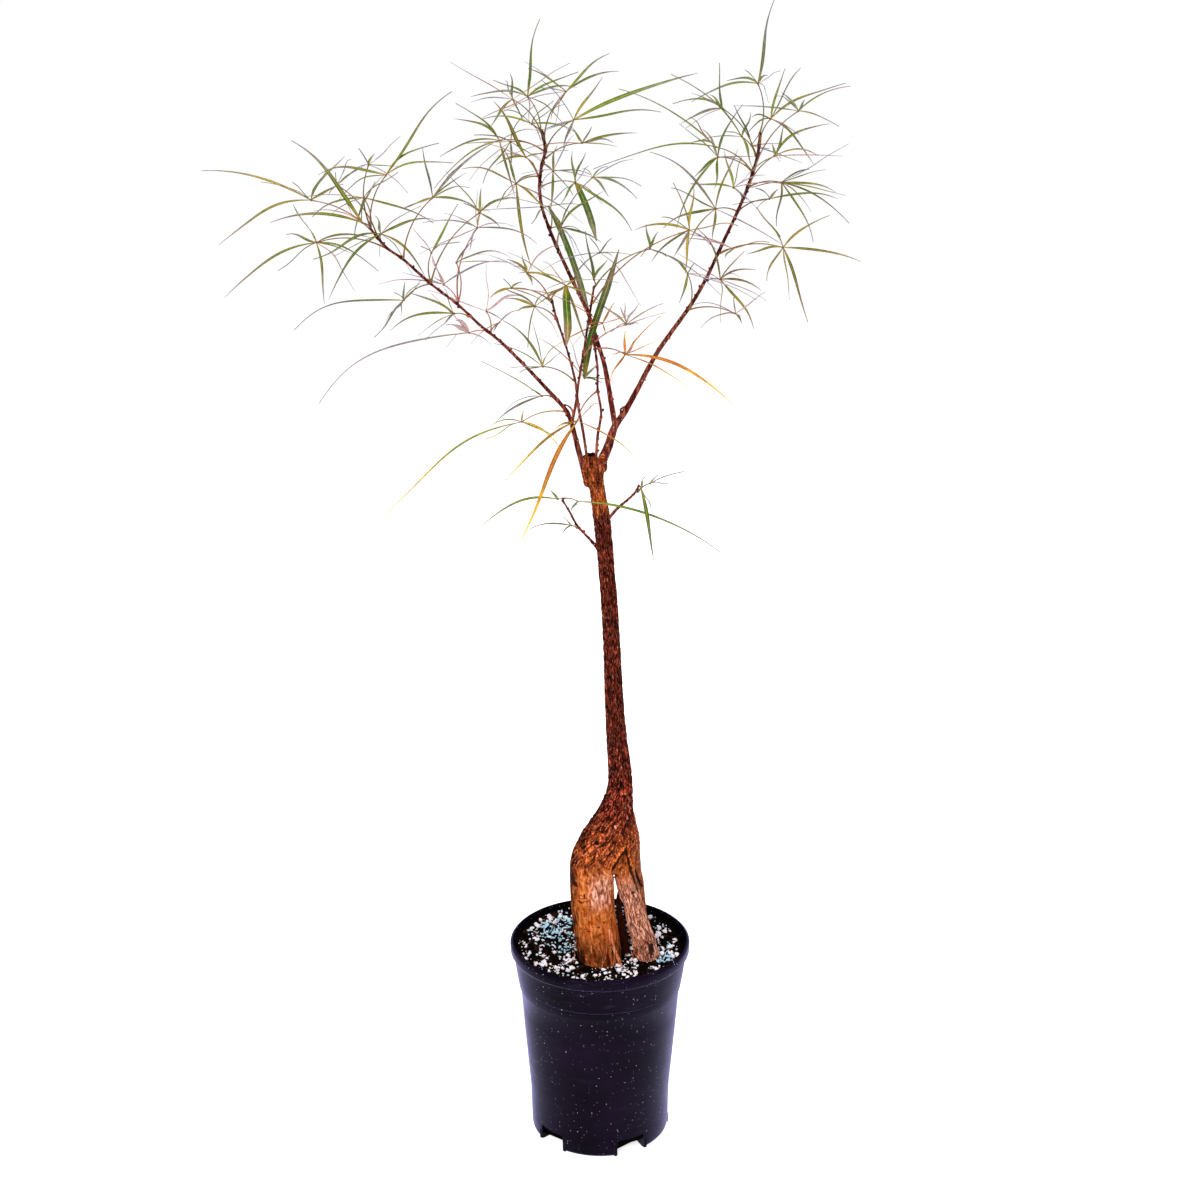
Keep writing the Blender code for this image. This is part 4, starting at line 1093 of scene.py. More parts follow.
def pot_material(name, sheen, low, high):
    """Moulded plastic: nearly black with a blue cast, dust specks, scuffs and faint mould lines."""
    nodes = Finish(name)
    spot = nodes.spot()
    body = nodes.ramp(nodes.noise(spot, 18, 5, 0.6), (0.35, low), (0.7, high))
    rubbed = nodes.noise(nodes.scaled(spot, 30, 30, 190), 1, 6, 0.7, 0.6)
    scuffs = nodes.ramp(rubbed, (0.56, 0.0), (0.74, 1.0))
    scuffs = nodes.times(scuffs, nodes.ramp(nodes.parts(spot, "XYZ")[2], (0.135, 0.25), (0.165, 1.0)))
    body = nodes.mix(nodes.times(scuffs, 0.35), body, (0.05, 0.045, 0.075))
    dust = nodes.times(nodes.specks(spot, 300, 0.085, 0.72), 0.95)
    fine_dust = nodes.times(nodes.specks(spot, 420, 0.09, 0.62), 0.5)
    body = nodes.mix(nodes.maths("MAXIMUM", dust, fine_dust), body, (0.82, 0.82, 0.90))
    gloss = nodes.ramp(nodes.noise(spot, 70, 5), (0.3, 0.30), (0.75, 0.46))
    gloss = nodes.plus(gloss, nodes.times(scuffs, 0.2))
    mould_lines = nodes.noise(nodes.scaled(spot, 2, 2, 160), 1, 3)
    uneven = nodes.plus(mould_lines, nodes.times(nodes.noise(spot, 260, 3), 0.25))
    return nodes.look(Base_Color=body, Roughness=gloss, Specular_IOR_Level=0.03 * sheen, Sheen_Weight=sheen,
                      Sheen_Roughness=0.30, Sheen_Tint=(0.50, 0.46, 1.0),
                      Normal=nodes.bump(uneven, 0.2, 0.0006))


def soil_material():
    nodes = Finish("soil mix")
    crumbs = nodes.noise(nodes.spot(), 420, 6, 0.7)
    body = nodes.ramp(crumbs, (0.3, (0.0008, 0.0005, 0.0005)), (0.55, (0.0045, 0.0025, 0.002)),
                      (0.8, (0.022, 0.011, 0.007)))
    return nodes.look(Base_Color=body, Roughness=0.95, Specular_IOR_Level=0.0,
                      Normal=nodes.bump(crumbs, 1.0, 0.0015))


def lump_material(name, low, high, scale=500, roughness=0.9):
    """Crumbly grain, mottled between two colours, each grain lighter or darker by its own shade."""
    nodes = Finish(name)
    pores = nodes.noise(nodes.spot(), scale, 5, 0.65)
    body = nodes.shade(nodes.ramp(pores, (0.35, low), (0.6, high)), nodes.layer("blade tint"))
    return nodes.look(Base_Color=body, Roughness=roughness, Specular_IOR_Level=0.05,
                      Normal=nodes.bump(pores, 0.6, 0.0005))


STREAKS = streaks_group()
SPECKS = specks_group()
LEAF_BLADE = leaf_material()
LEAF_STALK = stalk_material()
YOUNG_BARK_FINISH = young_bark_material()
BARK_FINISH = bark_material()
POT_FINISH = pot_material("pot plastic", 1.0, (0.0018, 0.0006, 0.0032), (0.0074, 0.0028, 0.0120))
# A darker copy of the pot plastic, without sheen, for the inner wall: painted shade inside the pot
POT_INSIDE_SHADED = pot_material("pot plastic in shade", 0.0, (0.0010, 0.0007, 0.0012), (0.0030, 0.0020, 0.0034))
SOIL_FINISH = soil_material()
PERLITE_FINISH = lump_material("perlite", (0.86, 0.80, 0.87), (1.0, 0.985, 1.0))
GRAIN_FINISH = lump_material("fertilizer grain", (0.34, 0.62, 0.78), (0.66, 0.90, 1.0), 300, 0.6)
CHIP_FINISH = lump_material("bark chip", (0.002, 0.001, 0.001), (0.026, 0.011, 0.006), 400)


def finish_piece(obj, slot, *nodes):
    """Rides on the tree and stands for its solids."""
    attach(obj, "root")
    if nodes:
        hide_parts(*nodes)


# Pot

def blocks_at_notches(inner, outer, width, low, high):
    """A block at each drain notch."""
    blocks = []
    for k in range(NOTCH_COUNT):
        bearing = math.radians(NOTCH_FIRST_DEG + k * 360 / NOTCH_COUNT)
        middle = (inner + outer) / 2
        bpy.ops.mesh.primitive_cube_add(size=MM)
        block = newest("notch block")
        block.scale = (outer - inner, width, high - low)
        place = (middle * math.cos(bearing), middle * math.sin(bearing), (low + high) / 2)
        block.location = Vector(place) * MM
        block.rotation_euler.z = bearing
        settle(block)
        blocks.append(block)
    return blocks


def wave_wall(pot):
    """Moulded walls are never quite round: they wave in and out a little, less towards the foot."""
    places = points_of(pot)
    for i, (x, y, z) in enumerate(places):
        out = math.hypot(x, y)
        if out > 20 and z > 1:
            wave = noise.noise(Vector((x, y, z * 0.5)) / WAVE_LENGTH) * WALL_WAVE
            places[i, :2] *= 1 + wave * min(1, z / 60) / out
    move_points(pot, places)


def make_pot():
    outside = [(0, 0)]
    for radius, height, steps in POT_CORNERS:
        outside += [(radius + out, height + up) for out, up in steps]
    inside = [
        (NECK_RADIUS - WALL, RIM_LOW - 2), (BAND_RADIUS - BAND_STEP - WALL, BAND_HEIGHT),
        (BASE_RADIUS + 6.0 - WALL, 100), (BASE_RADIUS + 0.8 - WALL, 40),
        (BASE_RADIUS - WALL - 0.1, WALL + 1.2), (BASE_RADIUS - WALL - 1.3, WALL), (0, WALL),
    ]
    pot = spun("nursery_pot", outside + inside, POT_STEPS)
    width = 2 * BASE_RADIUS * math.sin(math.radians(NOTCH_WIDTH_DEG / 2))
    channels = blocks_at_notches(CHANNEL_RADIUS, BASE_RADIUS - WALL, width + 2 * CHANNEL_SIDE, WALL / 2,
                                 CHANNEL_ROOF + WALL)
    boolean(pot, channels, "UNION")
    hollows = blocks_at_notches(CHANNEL_RADIUS + WALL, RIM_RADIUS, width, -WALL, CHANNEL_ROOF)
    boolean(pot, hollows, "DIFFERENCE")
    slots = blocks_at_notches(NOTCH_RADIUS, RIM_RADIUS, width, CHANNEL_ROOF / 2, NOTCH_HEIGHT)
    boolean(pot, slots, "DIFFERENCE")
    wave_wall(pot)
    wear(pot, POT_FINISH, POT_INSIDE_SHADED)
    # The inner wall's faces take the darker copy: painted shade
    for face in pot.data.polygons:
        if face.center.z > 0.1 and face.normal.xy.dot(face.center.xy) < 0:
            face.material_index = 1
    smooth_shaded(pot, degrees=35)
    finish_piece(pot, "pot_plastic", "pot")


# Soil and what lies on it

def soil_height(x, y):
    """Height of the soil's uneven surface."""
    coarse = noise.noise(Vector((x, y, 3.0)) / 14)
    fine = noise.noise(Vector((x, y, 40.0)) / 4.5)
    behind = smoothstep(-15, 55, y - 0.35 * x)
    return SOIL_TOP - 0.6 + 1.5 * coarse + 0.9 * fine + SOIL_BACK_RISE * behind


def make_soil():
    floor, over_channels = WALL + SEAT_GAP, CHANNEL_ROOF + WALL + SEAT_GAP + 0.2
    edge = NECK_RADIUS - WALL - SEAT_GAP
    side = [
        (0, floor), (46, floor), (46.6, over_channels), (BASE_RADIUS - WALL - 0.8, over_channels),
        (BASE_RADIUS + 0.5 - WALL, 40), (BASE_RADIUS + 5.6 - WALL, 100),
        (BAND_RADIUS - BAND_STEP - WALL - 0.4, BAND_HEIGHT), (edge - 0.2, SOIL_TOP - 1.5),
    ]
    top = [(edge * (1 - k / SOIL_FINE_RINGS), SOIL_TOP) for k in range(SOIL_FINE_RINGS + 1)]
    soil = spun("soil_bed", side + top, SOIL_STEPS)
    places = points_of(soil)
    for i, (x, y, z) in enumerate(places):
        if z > SOIL_TOP - 0.5:
            places[i, 2] = soil_height(x, y)
    move_points(soil, places)
    wear(soil, SOIL_FINISH)
    smooth_shaded(soil, degrees=60)
    finish_piece(soil, "soil_mix", "soil")


def lump_models():
    """Three angular crumbs, each a bevelled block knocked out of true."""
    models = []
    draw = random.Random(LUMP_SEED)
    for number in range(3):
        bpy.ops.mesh.primitive_cube_add(size=1.5)
        lump = newest(f"crumb {number}")
        edit(lump)
        bpy.ops.mesh.select_all(action="SELECT")
        bpy.ops.mesh.bevel(offset=0.42, segments=1, affect="EDGES")
        leave()
        for point in lump.data.vertices:
            point.co += Vector([draw.uniform(-0.16, 0.16) for _ in range(3)])
        models.append(lump)
    return models


def clear_of_legs(x, y, gap):
    """Whether a place on the soil is outside every leg."""
    for line, radii in WOOD[1:]:
        for a, radius in zip(line, radii):
            if abs(a.z - SOIL_TOP) < 14 and math.hypot(x - a.x, y - a.y) < radius + gap:
                return False
    return True


def scatter(name, material, models, count, draw, sizes, where, shade, flat=(1, 1, 0.75), sunk=0.3):
    """Crumbs strewn over the soil by a rule that says where each may fall."""
    parts = []
    edge = NECK_RADIUS - WALL - 2.0
    while len(parts) < count:
        away, turn = edge * math.sqrt(draw.random()), draw.uniform(0, 2 * math.pi)
        x, y = away * math.cos(turn), away * math.sin(turn)
        size = sizes[0] + (sizes[1] - sizes[0]) * draw.random() ** 2.6
        if away + size / 2 > edge or not where(x, y) or not clear_of_legs(x, y, size * 0.3):
            continue
        lump = models[draw.randrange(len(models))]
        stretch = [size / 2 * f * draw.uniform(0.7, 1.35) for f in flat]
        up = Vector((draw.uniform(-0.5, 0.5), draw.uniform(-0.5, 0.5), 1))
        place = (x, y, soil_height(x, y) + size * (0.5 - sunk))
        part = placed(lump, place, stretch, up, draw.uniform(0, 6.3))
        grey = draw.uniform(*shade)
        rosy = draw.uniform(0.94, 1.0)
        paint(part, "blade tint", (grey, grey * rosy, grey * (0.3 + 0.7 * rosy)))
        wear(part, material)
        parts.append(part)
    finish_piece(join(name, parts), "soil_mix")


def in_grain_patch(x, y):
    """Whether a place is in the two patches where most of the pale blue fertilizer lies."""
    return math.hypot(x + 32, (y - 22) * 0.8) < 24 or math.hypot(x - 56, y + 12) < 12


def make_soil_top():
    draw = random.Random(STREW_SEED)
    models = lump_models()
    scatter("bark_chips", CHIP_FINISH, models, CHIPS, draw, sizes=(1.8, 7.0), where=lambda x, y: True,
            shade=(0.5, 1.4), flat=(1.5, 0.7, 0.4), sunk=0.35)
    scatter("perlite_lumps", PERLITE_FINISH, models, LUMPS, draw, sizes=(0.9, 5.2),
            where=lambda x, y: (noise.noise(Vector((x, y, 9)) / 11) > draw.uniform(-0.32, 0.28)
                                and (y > -42 or draw.random() < 0.72)
                                and (not in_grain_patch(x, y) or draw.random() < 0.35)),
            shade=(0.93, 1.0))
    bpy.ops.mesh.primitive_ico_sphere_add(subdivisions=1, radius=1)
    grain = newest("grain")
    scatter("fertilizer_grains", GRAIN_FINISH, [grain], GRAINS, draw, sizes=(1.4, 2.9),
            where=lambda x, y: in_grain_patch(x, y) or draw.random() < 0.05,
            shade=(0.85, 1.1), flat=(1, 1, 0.9), sunk=0.1)
    discard(*models, grain)


# Trunk

def make_wood_core():
    """The trunk and legs as smooth tubes run together into one skin."""
    stick = straight_stick("wood stick", sides=40, rings=120)
    tubes = []
    for number, (line, radii) in enumerate(LIMBS):
        line, radii = fine_tube(line, radii, steps=4)
        if number == 0:
            radii = [min(r, r + (CUT_RADIUS - r) * smoothstep(CUT_TOP - 12, CUT_TOP - 2, place.z))
                     for place, r in zip(line, radii)]
        tubes.append(bent(stick, line, radii, radii, facing=(0, -1, 0.05)))
    for name, share, extra in COLLARS:
        line, radii = fine_tube(*stem_line(name), steps=4)
        count = max(6, int(share * len(line)))
        rows = [radii[k] + extra * (1 - k / (count - 1)) - 0.35 for k in range(count)]
        tubes.append(bent(stick, line[:count], rows, rows))
    for across, depth, up, radius in KNOBS:
        middle = Vector((across, depth, up))
        line = [middle + Vector((0, 0, radius * k / 6)) for k in range(-6, 7)]
        rows = [max(0.3, radius * math.sqrt(1 - (k / 6) ** 2)) for k in range(-6, 7)]
        tubes.append(bent(stick, line, rows, rows))
    discard(stick)
    trunk = join("trunk_wood", tubes)
    skin = trunk.modifiers.new("one skin", "REMESH")
    skin.mode = "VOXEL"
    skin.voxel_size = SKIN_VOXEL * MM
    ease = trunk.modifiers.new("ease", "SMOOTH")
    ease.factor = 0.5
    ease.iterations = SKIN_EASE
    apply_modifiers(trunk)
    return trunk


def searchable_limbs():
    """For each limb, a search tree and every point's place, heading, reach along the limb and radius."""
    found = []
    for line, radii in LIMBS:
        line, radii = fine_tube(line, radii, steps=6)
        entries, reach = [], 0.0
        for k, place in enumerate(line):
            if k:
                reach += (place - line[k - 1]).length
            entries.append((place, heading(line, k), reach, radii[k]))
        found.append((search_tree(line), entries))
    return found


def smoothstep(low, high, value):
    share = min(1.0, max(0.0, (value - low) / (high - low)))
    return share * share * (3 - 2 * share)


def lip_at(place):
    """Share of the lip where the left leg's swelling folds over the right leg."""
    start, end = Vector((9, 261)), Vector((25, 288))
    way = end - start
    spot = Vector((place.x, place.z)) - start
    along = spot.dot(way) / way.length_squared
    off = (spot.x * way.y - spot.y * way.x) / way.length
    within = smoothstep(-0.15, 0.1, along) * (1 - smoothstep(0.85, 1.1, along))
    return within * math.exp(-((off + 2.6) / 2.9) ** 2)


def cracks_at(ring, reach, number):
    """Shares of crack and plate of stringy bark that runs along a limb."""
    bend = 0.35 * noise.noise(ring * 2.5 + Vector((5.1, 0, reach / 13)))
    coarse = noise.noise(ring * CRACKS_ROUND + Vector((bend, bend, reach / CRACK_LENGTH + 7.3 * number)))
    fine = noise.noise(ring * CRACKS_ROUND * 1.9 + Vector((2.2, bend, reach / CRACK_LENGTH * 1.7)))
    crack = 1 - smoothstep(0.02, 0.20, abs(coarse))
    crack = max(crack, 0.6 * (1 - smoothstep(0.02, 0.16, abs(fine))))
    return crack, min(1.0, 1.7 * abs(coarse) + 0.5 * abs(fine))


def crease_shade_at(place):
    """Share of a crease on the front of the wood, where the bark is painted dark as shade."""
    best = 9.0
    for way in SHADED_CREASES:
        for (x0, z0), (x1, z1) in zip(way, way[1:]):
            length = (x1 - x0) ** 2 + (z1 - z0) ** 2
            along = ((place.x - x0) * (x1 - x0) + (place.z - z0) * (z1 - z0)) / length
            along = min(1.0, max(0.0, along))
            best = min(best, math.hypot(place.x - x0 - along * (x1 - x0), place.z - z0 - along * (z1 - z0)))
    return 1 - smoothstep(0.5, 1.7, best + 0.8 * noise.noise(place / 3))


def marks_at(place):
    """Shares of the dark scars and pale flecks on the front of the wood."""
    dark = pale = 0.0
    wobble = 1 + 0.7 * noise.noise(place / 1.6)
    for across, up, half_width, half_height, light in BARK_MARKS:
        off = math.hypot((place.x - across) / half_width, (place.z - up) / half_height) * wobble
        share = 1 - smoothstep(0.7, 1.1, off)
        if light:
            pale = max(pale, share)
        else:
            dark = max(dark, share)
    return dark, pale


def limb_at(place, limbs):
    """The limb nearest a point: its number and centre, how far along it, and the ways out and round."""
    near = []
    for number, (tree, entries) in enumerate(limbs):
        _, index, distance = tree.find(place)
        near.append((distance - entries[index][3], number, index))
    _, number, index = min(near)
    centre, ahead, reach, _ = limbs[number][1][index]
    out = place - centre
    reach += out.dot(ahead)
    out = square_to(ahead, out)
    side = square_to(ahead, Vector((1, 0, 0)))
    return SimpleNamespace(place=place, high=place.z, number=number, centre=centre, reach=reach, out=out,
                           side=side, other=ahead.cross(side))


def left_leg_bark(at):
    """The left leg: a streaked foot, swellings beside the gap, and a smooth pink patch in front."""
    foot = 1 - smoothstep(184, 214, at.high)
    streak = noise.noise(at.ring * 10 + Vector((0, 0, at.reach / 16)))
    above_foot = (1 - foot) * (1 - smoothstep(240, 262, at.high))
    at.depth -= foot * (0.14 + 0.55 * streak) - 0.25 * above_foot * streak
    at.golden -= 0.35 * foot * max(0.0, 0.6 - streak)
    inward, outward = max(0.0, at.out.x), max(0.0, -at.out.x)
    at.relief += 2.6 * math.exp(-((at.high - 245) / 15) ** 2) * inward + 1.2 * at.shoulder * outward
    at.relief += 2.4 * math.exp(-((at.high - 259) / 6.5) ** 2) * inward
    if at.place.y < -10:
        patch = math.exp(-(((at.place.x + 0.3) / 9.5) ** 4 + ((at.high - 248) / 15) ** 4))
        at.pink = 0.9 * patch
        at.relief *= 1 - 0.6 * patch
        at.depth += (0.72 + 0.3 * (at.depth - 0.55) - at.depth) * patch


def right_leg_bark(at):
    """The right leg: pink and rougher to its foot, with a swelling towards the gap."""
    at.pink = 0.8 * (1 - smoothstep(240, 268, at.high))
    low = 1 - smoothstep(225, 262, at.high)
    swelling = max(0.0, -at.out.x) * smoothstep(226, 240, at.high) * (1 - smoothstep(276, 290, at.high))
    at.relief += low * (0.5 * noise.noise(at.place / 9) + 0.5 * at.plate - 0.7 * at.crack) + 2.8 * swelling
    at.depth += low * (0.5 * at.plate - 0.45 * at.crack) + 0.06


def back_leg_bark(at):
    at.pink = 0.3
    at.golden = max(at.golden, 0.45)
    hollow = max(0.0, at.out.x) * smoothstep(238, 255, at.high) * (1 - smoothstep(296, 312, at.high))
    at.relief -= 2.0 * hollow


def shaded_inner_root_bark(at):
    # Less golden and darker all over: painted shade between the legs
    at.golden, at.depth = 0.2, at.depth * 0.5


def front_marks(at):
    """The lip, the creases, the dark scars and the pale flecks on the side that the photo shows."""
    lip = lip_at(at.place)
    at.golden = max(at.golden, lip)
    at.relief += (1.2 - 0.7 * at.relief) * lip
    at.depth += (0.66 + 0.15 * at.plate - at.depth) * lip
    crease = crease_shade_at(at.place)
    dark, pale = marks_at(at.place)
    # Creases sink the bark and are painted dark as shade; the scars and flecks are the bark's own marks
    at.relief -= 1.6 * crease + 0.5 * dark
    at.depth = max(at.depth * (1 - 0.95 * crease) * (1 - dark), pale)
    at.pink = max(at.pink, pale)


def bark_at(place, limbs):
    """Relief in millimetres, the bark layer and the flow at a point of the trunk's skin."""
    at = limb_at(place, limbs)
    high = at.high
    at.shoulder = smoothstep(250, 275, high) * (1 - smoothstep(330, 352, high))
    turn = math.atan2(at.out.dot(at.other), at.out.dot(at.side)) + 0.045 * (high - 300) * at.shoulder
    at.ring = Vector((math.cos(turn), math.sin(turn), 0))
    at.crack, at.plate = cracks_at(at.ring, at.reach, at.number)
    small = noise.noise(at.ring * 9 + Vector((3.7, 0, at.reach / 3.2)))
    # The left side of the left leg: its cracks reach lower and its bark is painted darker as shade
    left = smoothstep(0.55, 0.95, -at.out.x) if at.number == 1 else 0.0
    rough = 1 - (0.90 - 0.45 * left) * (1 - smoothstep(250, 284, high + 8 * noise.noise(place / 14)))
    at.relief = rough * (0.5 * at.plate - 0.85 * at.crack + 0.25 * small) + 0.12 * noise.noise(place / 2.2)
    at.relief += 0.7 * at.shoulder * noise.noise(at.ring * 3 + Vector((0, 0, at.reach / 22)))

    calm = 0.55 * smoothstep(262, 285, high)
    # A lower depth paints the bark darker: in cracks partly the bark's own colour and partly painted shade,
    # on the left leg's left side painted shade
    at.depth = 0.55 + rough * (1 - calm) * (0.42 * at.plate - 0.50 * at.crack + 0.25 * small) - 0.28 * left
    at.depth += 0.05 * at.shoulder - 0.07 * smoothstep(335, 370, high) * (1 - smoothstep(560, 600, high))
    blotch = noise.noise(place / 11)
    golden = 1 - smoothstep(246, 292, high + 12 * blotch + 18 * left - 12 * (at.depth - 0.5))
    golden = max(golden, at.shoulder * (1 - smoothstep(275, 322, high)) * (0.05 + 0.45 * at.plate))
    top_gold = smoothstep(586, 602, high) * (0.42 - 0.27 * smoothstep(622, 636, high))
    stripe = noise.noise(Vector((place.x, place.y, place.z / 5)) / 3.0)
    at.golden = max(golden, top_gold * (1 + 1.6 * stripe))
    at.pink = 0.0
    from_cut = math.hypot(place.x - CUT_CENTRE[0], place.y - CUT_CENTRE[1])
    if high > CUT_TOP - 1.4 and from_cut < CUT_RADIUS + 1.2:
        at.golden, at.depth = 0.0, 0.02

    if at.number in LIMB_BARK:
        LIMB_BARK[at.number](at)
    if place.y < at.centre.y:
        front_marks(at)
    flow = (at.out.dot(at.side) * FLOW_RADIUS, at.out.dot(at.other) * FLOW_RADIUS,
            at.reach + LIMBS_APART * at.number)
    return at.relief, (min(1, max(0, at.golden)), min(1, max(0, at.depth)), at.pink), flow


# What each limb but the trunk adds to the bark, by its place in LIMBS
LIMB_BARK = {1: left_leg_bark, 2: right_leg_bark, 3: back_leg_bark, 4: shaded_inner_root_bark}


def make_rootlets(stick):
    """Thin fibrous roots that leave the legs and run into the soil."""
    draw = random.Random(ROOTLET_SEED)
    parts = []
    line, radii = fine_tube(*WOOD[4], steps=4)
    parts.append(bent(stick, line, radii, radii))
    for number in range(ROOTLETS):
        leg_line, leg_radii = WOOD[1] if number % 3 else WOOD[2]
        k = min(range(len(leg_line)), key=lambda i: abs(leg_line[i].z - (SOIL_TOP + draw.uniform(4, 26))))
        turn = draw.uniform(-2.9, -0.3)
        out = Vector((math.cos(turn), math.sin(turn), 0))
        start = leg_line[k] + out * (leg_radii[k] * 0.96)
        foot = out * draw.uniform(0.5, 6) + Vector((draw.uniform(-9, 9), 0, 0))
        end = Vector((start.x + foot.x, start.y + foot.y, SOIL_TOP - 3))
        sway = Vector((draw.uniform(-3, 3), 0, draw.uniform(-3, 3)))
        middle = start.lerp(end, 0.45) + out * draw.uniform(0.6, 2.2) + sway
        way = smooth_line([start - out * 2, start, middle, end], steps=5)
        thick = draw.uniform(0.22, 0.5)
        rows = [thick * (1 - 0.4 * k / (len(way) - 1)) for k in range(len(way))]
        parts.append(bent(stick, way, rows, rows))
    for part in parts:
        paint(part, "bark layer", (1.0, 0.9, 0.35))
        paint_points(part, "bark flow", points_of(part) * MM)
        wear(part, BARK_FINISH)
    return parts


def make_trunk():
    trunk = make_wood_core()
    limbs = searchable_limbs()
    places, normals = points_of(trunk), normals_of(trunk)
    rows, flow = np.zeros((len(places), 3)), np.zeros((len(places), 3))
    for i, place in enumerate(places):
        relief, rows[i], flow[i] = bark_at(Vector(place), limbs)
        places[i] += normals[i] * relief
    move_points(trunk, places)
    paint_points(trunk, "bark layer", rows)
    paint_points(trunk, "bark flow", flow * MM)
    stick = straight_stick("rootlet stick", sides=6, rings=14)
    rootlets = make_rootlets(stick)
    discard(stick)
    wear(trunk, BARK_FINISH)
    trunk = join("trunk_wood", [trunk] + rootlets)
    smooth_shaded(trunk, degrees=70)
    finish_piece(trunk, "bark", "trunk")


# Stems

def stem_relief(piece):
    """Small lengthwise ridges and knots."""
    places, normals = points_of(piece), normals_of(piece)
    for i, place in enumerate(places):
        spot = Vector(place)
        ridges = noise.noise(Vector((spot.x, spot.y, spot.z / 6)) / 0.9)
        knots = noise.noise(spot / 7)
        places[i] += normals[i] * (0.12 * ridges + 0.22 * knots)
    move_points(piece, places)


def swellings(line, rows, buds, draw):
    """Thickens a stem's rows at its buds and at nodes along it. Returns the nodes as points of its line."""
    lengths = [0.0]
    for a, b in zip(line, line[1:]):
        lengths.append(lengths[-1] + (b - a).length)
    nodes = []
    at = draw.uniform(4, 9)
    while at < lengths[-1]:
        nodes.append(at)
        at += draw.uniform(5, 12)
    at_buds = [lengths[nearest_to(line, bud.z)] for bud in buds]
    for places, (rise, reach) in ((at_buds, BUD_SWELLING), (nodes, NODE_SWELLING)):
        for place in places:
            for i, length in enumerate(lengths):
                rows[i] += rise * math.exp(-((length - place) / reach) ** 2)
    return [min(range(len(line)), key=lambda i: abs(lengths[i] - node)) for node in nodes]


def make_stem(name, stick, twig, bud):
    """A stem with its nodes, and a dead twig where it has one."""
    line, radii = fine_tube(*stem_line(name), steps=5)
    rows = list(radii)
    draw = random.Random(name)
    nodes = swellings(line, rows, [spray.bud for spray in SPRAY_LIST if spray.stem == name], draw)
    parts = [bent(stick, line, rows, rows)]
    for k in nodes:
        ahead = heading(line, k)
        turn = draw.uniform(0, 6.3)
        out = square_to(ahead, Vector((math.cos(turn), math.sin(turn), 0.2)))
        size = draw.uniform(0.6, 1.15)
        parts.append(placed(bud, line[k] + out * rows[k] * 0.9, (size, size, size), out + ahead * 0.9))
    if name in DEAD_TWIGS:
        depth = line[len(line) // 5].y - 0.4
        way = smooth_line([sight(across, depth, up) for across, up in DEAD_TWIGS[name]], steps=6)
        rows = [0.95 - 0.4 * k / (len(way) - 1) for k in range(len(way))]
        parts.append(bent(twig, way, rows, rows))
        parts.append(placed(bud, way[0], (1.3, 1.3, 1.3), way[3] - way[0]))
    piece = join(f"{name}_wood", parts)
    stem_relief(piece)
    wear(piece, YOUNG_BARK_FINISH)
    smooth_shaded(piece, degrees=60)
    finish_piece(piece, "young_bark", name)


def make_stems():
    stick = straight_stick("stem stick", sides=14, rings=110)
    twig = straight_stick("twig stick", sides=8, rings=20)
    bud = bud_model("bud")
    for name in STEMS:
        make_stem(name, stick, twig, bud)
    discard(stick, twig, bud)


# Leaves

def blade_rows(width, full=False):
    """Half widths from foot to tip: narrow foot and long fine point, or both blunter on a full blade."""
    rows = []
    for k in range(BLADE_ROWS + 1):
        t = k / BLADE_ROWS
        foot = min(1.0, (t + 0.05) / (0.2 if full else 0.3)) ** 0.7
        point = min(1.0, (1.02 - t) / (0.3 if full else 0.6)) ** 0.85
        rows.append(max(0.12, width / 2 * foot * point))
    return rows


def varied(colour, draw, spread):
    """A colour a little lighter or darker and a little warmer or cooler."""
    light = 1 + draw.uniform(-spread, spread)
    warm = draw.uniform(-spread, spread) * 0.5
    return (colour[0] * light * (1 + warm), colour[1] * light, colour[2] * light * (1 - warm))


def swayed(line, draw):
    """A line that sways from side to side between its two ends."""
    way = line[-1] - line[0]
    left = Vector((-way.z, draw.uniform(-0.6, 0.6) * way.length, way.x)).normalized()
    first = way.length * draw.uniform(-0.035, 0.035)
    second = way.length * draw.uniform(-0.022, 0.022)
    last = len(line) - 1
    return [place + left * (first * math.sin(math.pi * k / last) + second * math.sin(2 * math.pi * k / last))
            for k, place in enumerate(line)]


def finish_blade(leaflet, tint, tip, draw, spread):
    """Gives a leaflet its tint and its tip's tint, each a little varied."""
    paint(leaflet, "blade tint", varied(tint, draw, spread))
    paint(leaflet, "tip tint", varied(tip, draw, 0.2))
    wear(leaflet, LEAF_BLADE)


def make_leaflet(blade, way, wide, roll, tint, tip, full, draw):
    line = swayed(smooth_line(way, steps=3), draw)
    if draw.random() < ODD_SHARE and not full:
        tint = tuple(a + (b - a) * 0.6 for a, b in zip(tint, draw.choice(ODD_TINTS)))
    facing = (math.sin(roll), -0.85, 0.45 + 0.4 * math.cos(roll))
    twist, tip_twist = draw.uniform(-0.15, 0.15), draw.uniform(-0.7, 0.7)
    leaflet = bent(blade, line, blade_rows(wide, full), [1.0], facing, twist, tip_twist)
    finish_blade(leaflet, tint, tip, draw, 0.22)
    return leaflet


def placed_clearance():
    """Every stem, stalk and leaflet as placed beads."""
    space = wood_clearance()
    for spray in SPRAY_LIST:
        for stalk, leaflets in spray.leaves:
            space.add_leaf(stalk, leaflets)
    space.settle()
    return space


def in_solids_box(place):
    """Whether a place is in the solids' box or very near it."""
    low, high = CAD_BOX
    return all(low[k] / MM - BOX_MARGIN < place[k] < high[k] / MM + BOX_MARGIN for k in range(3))


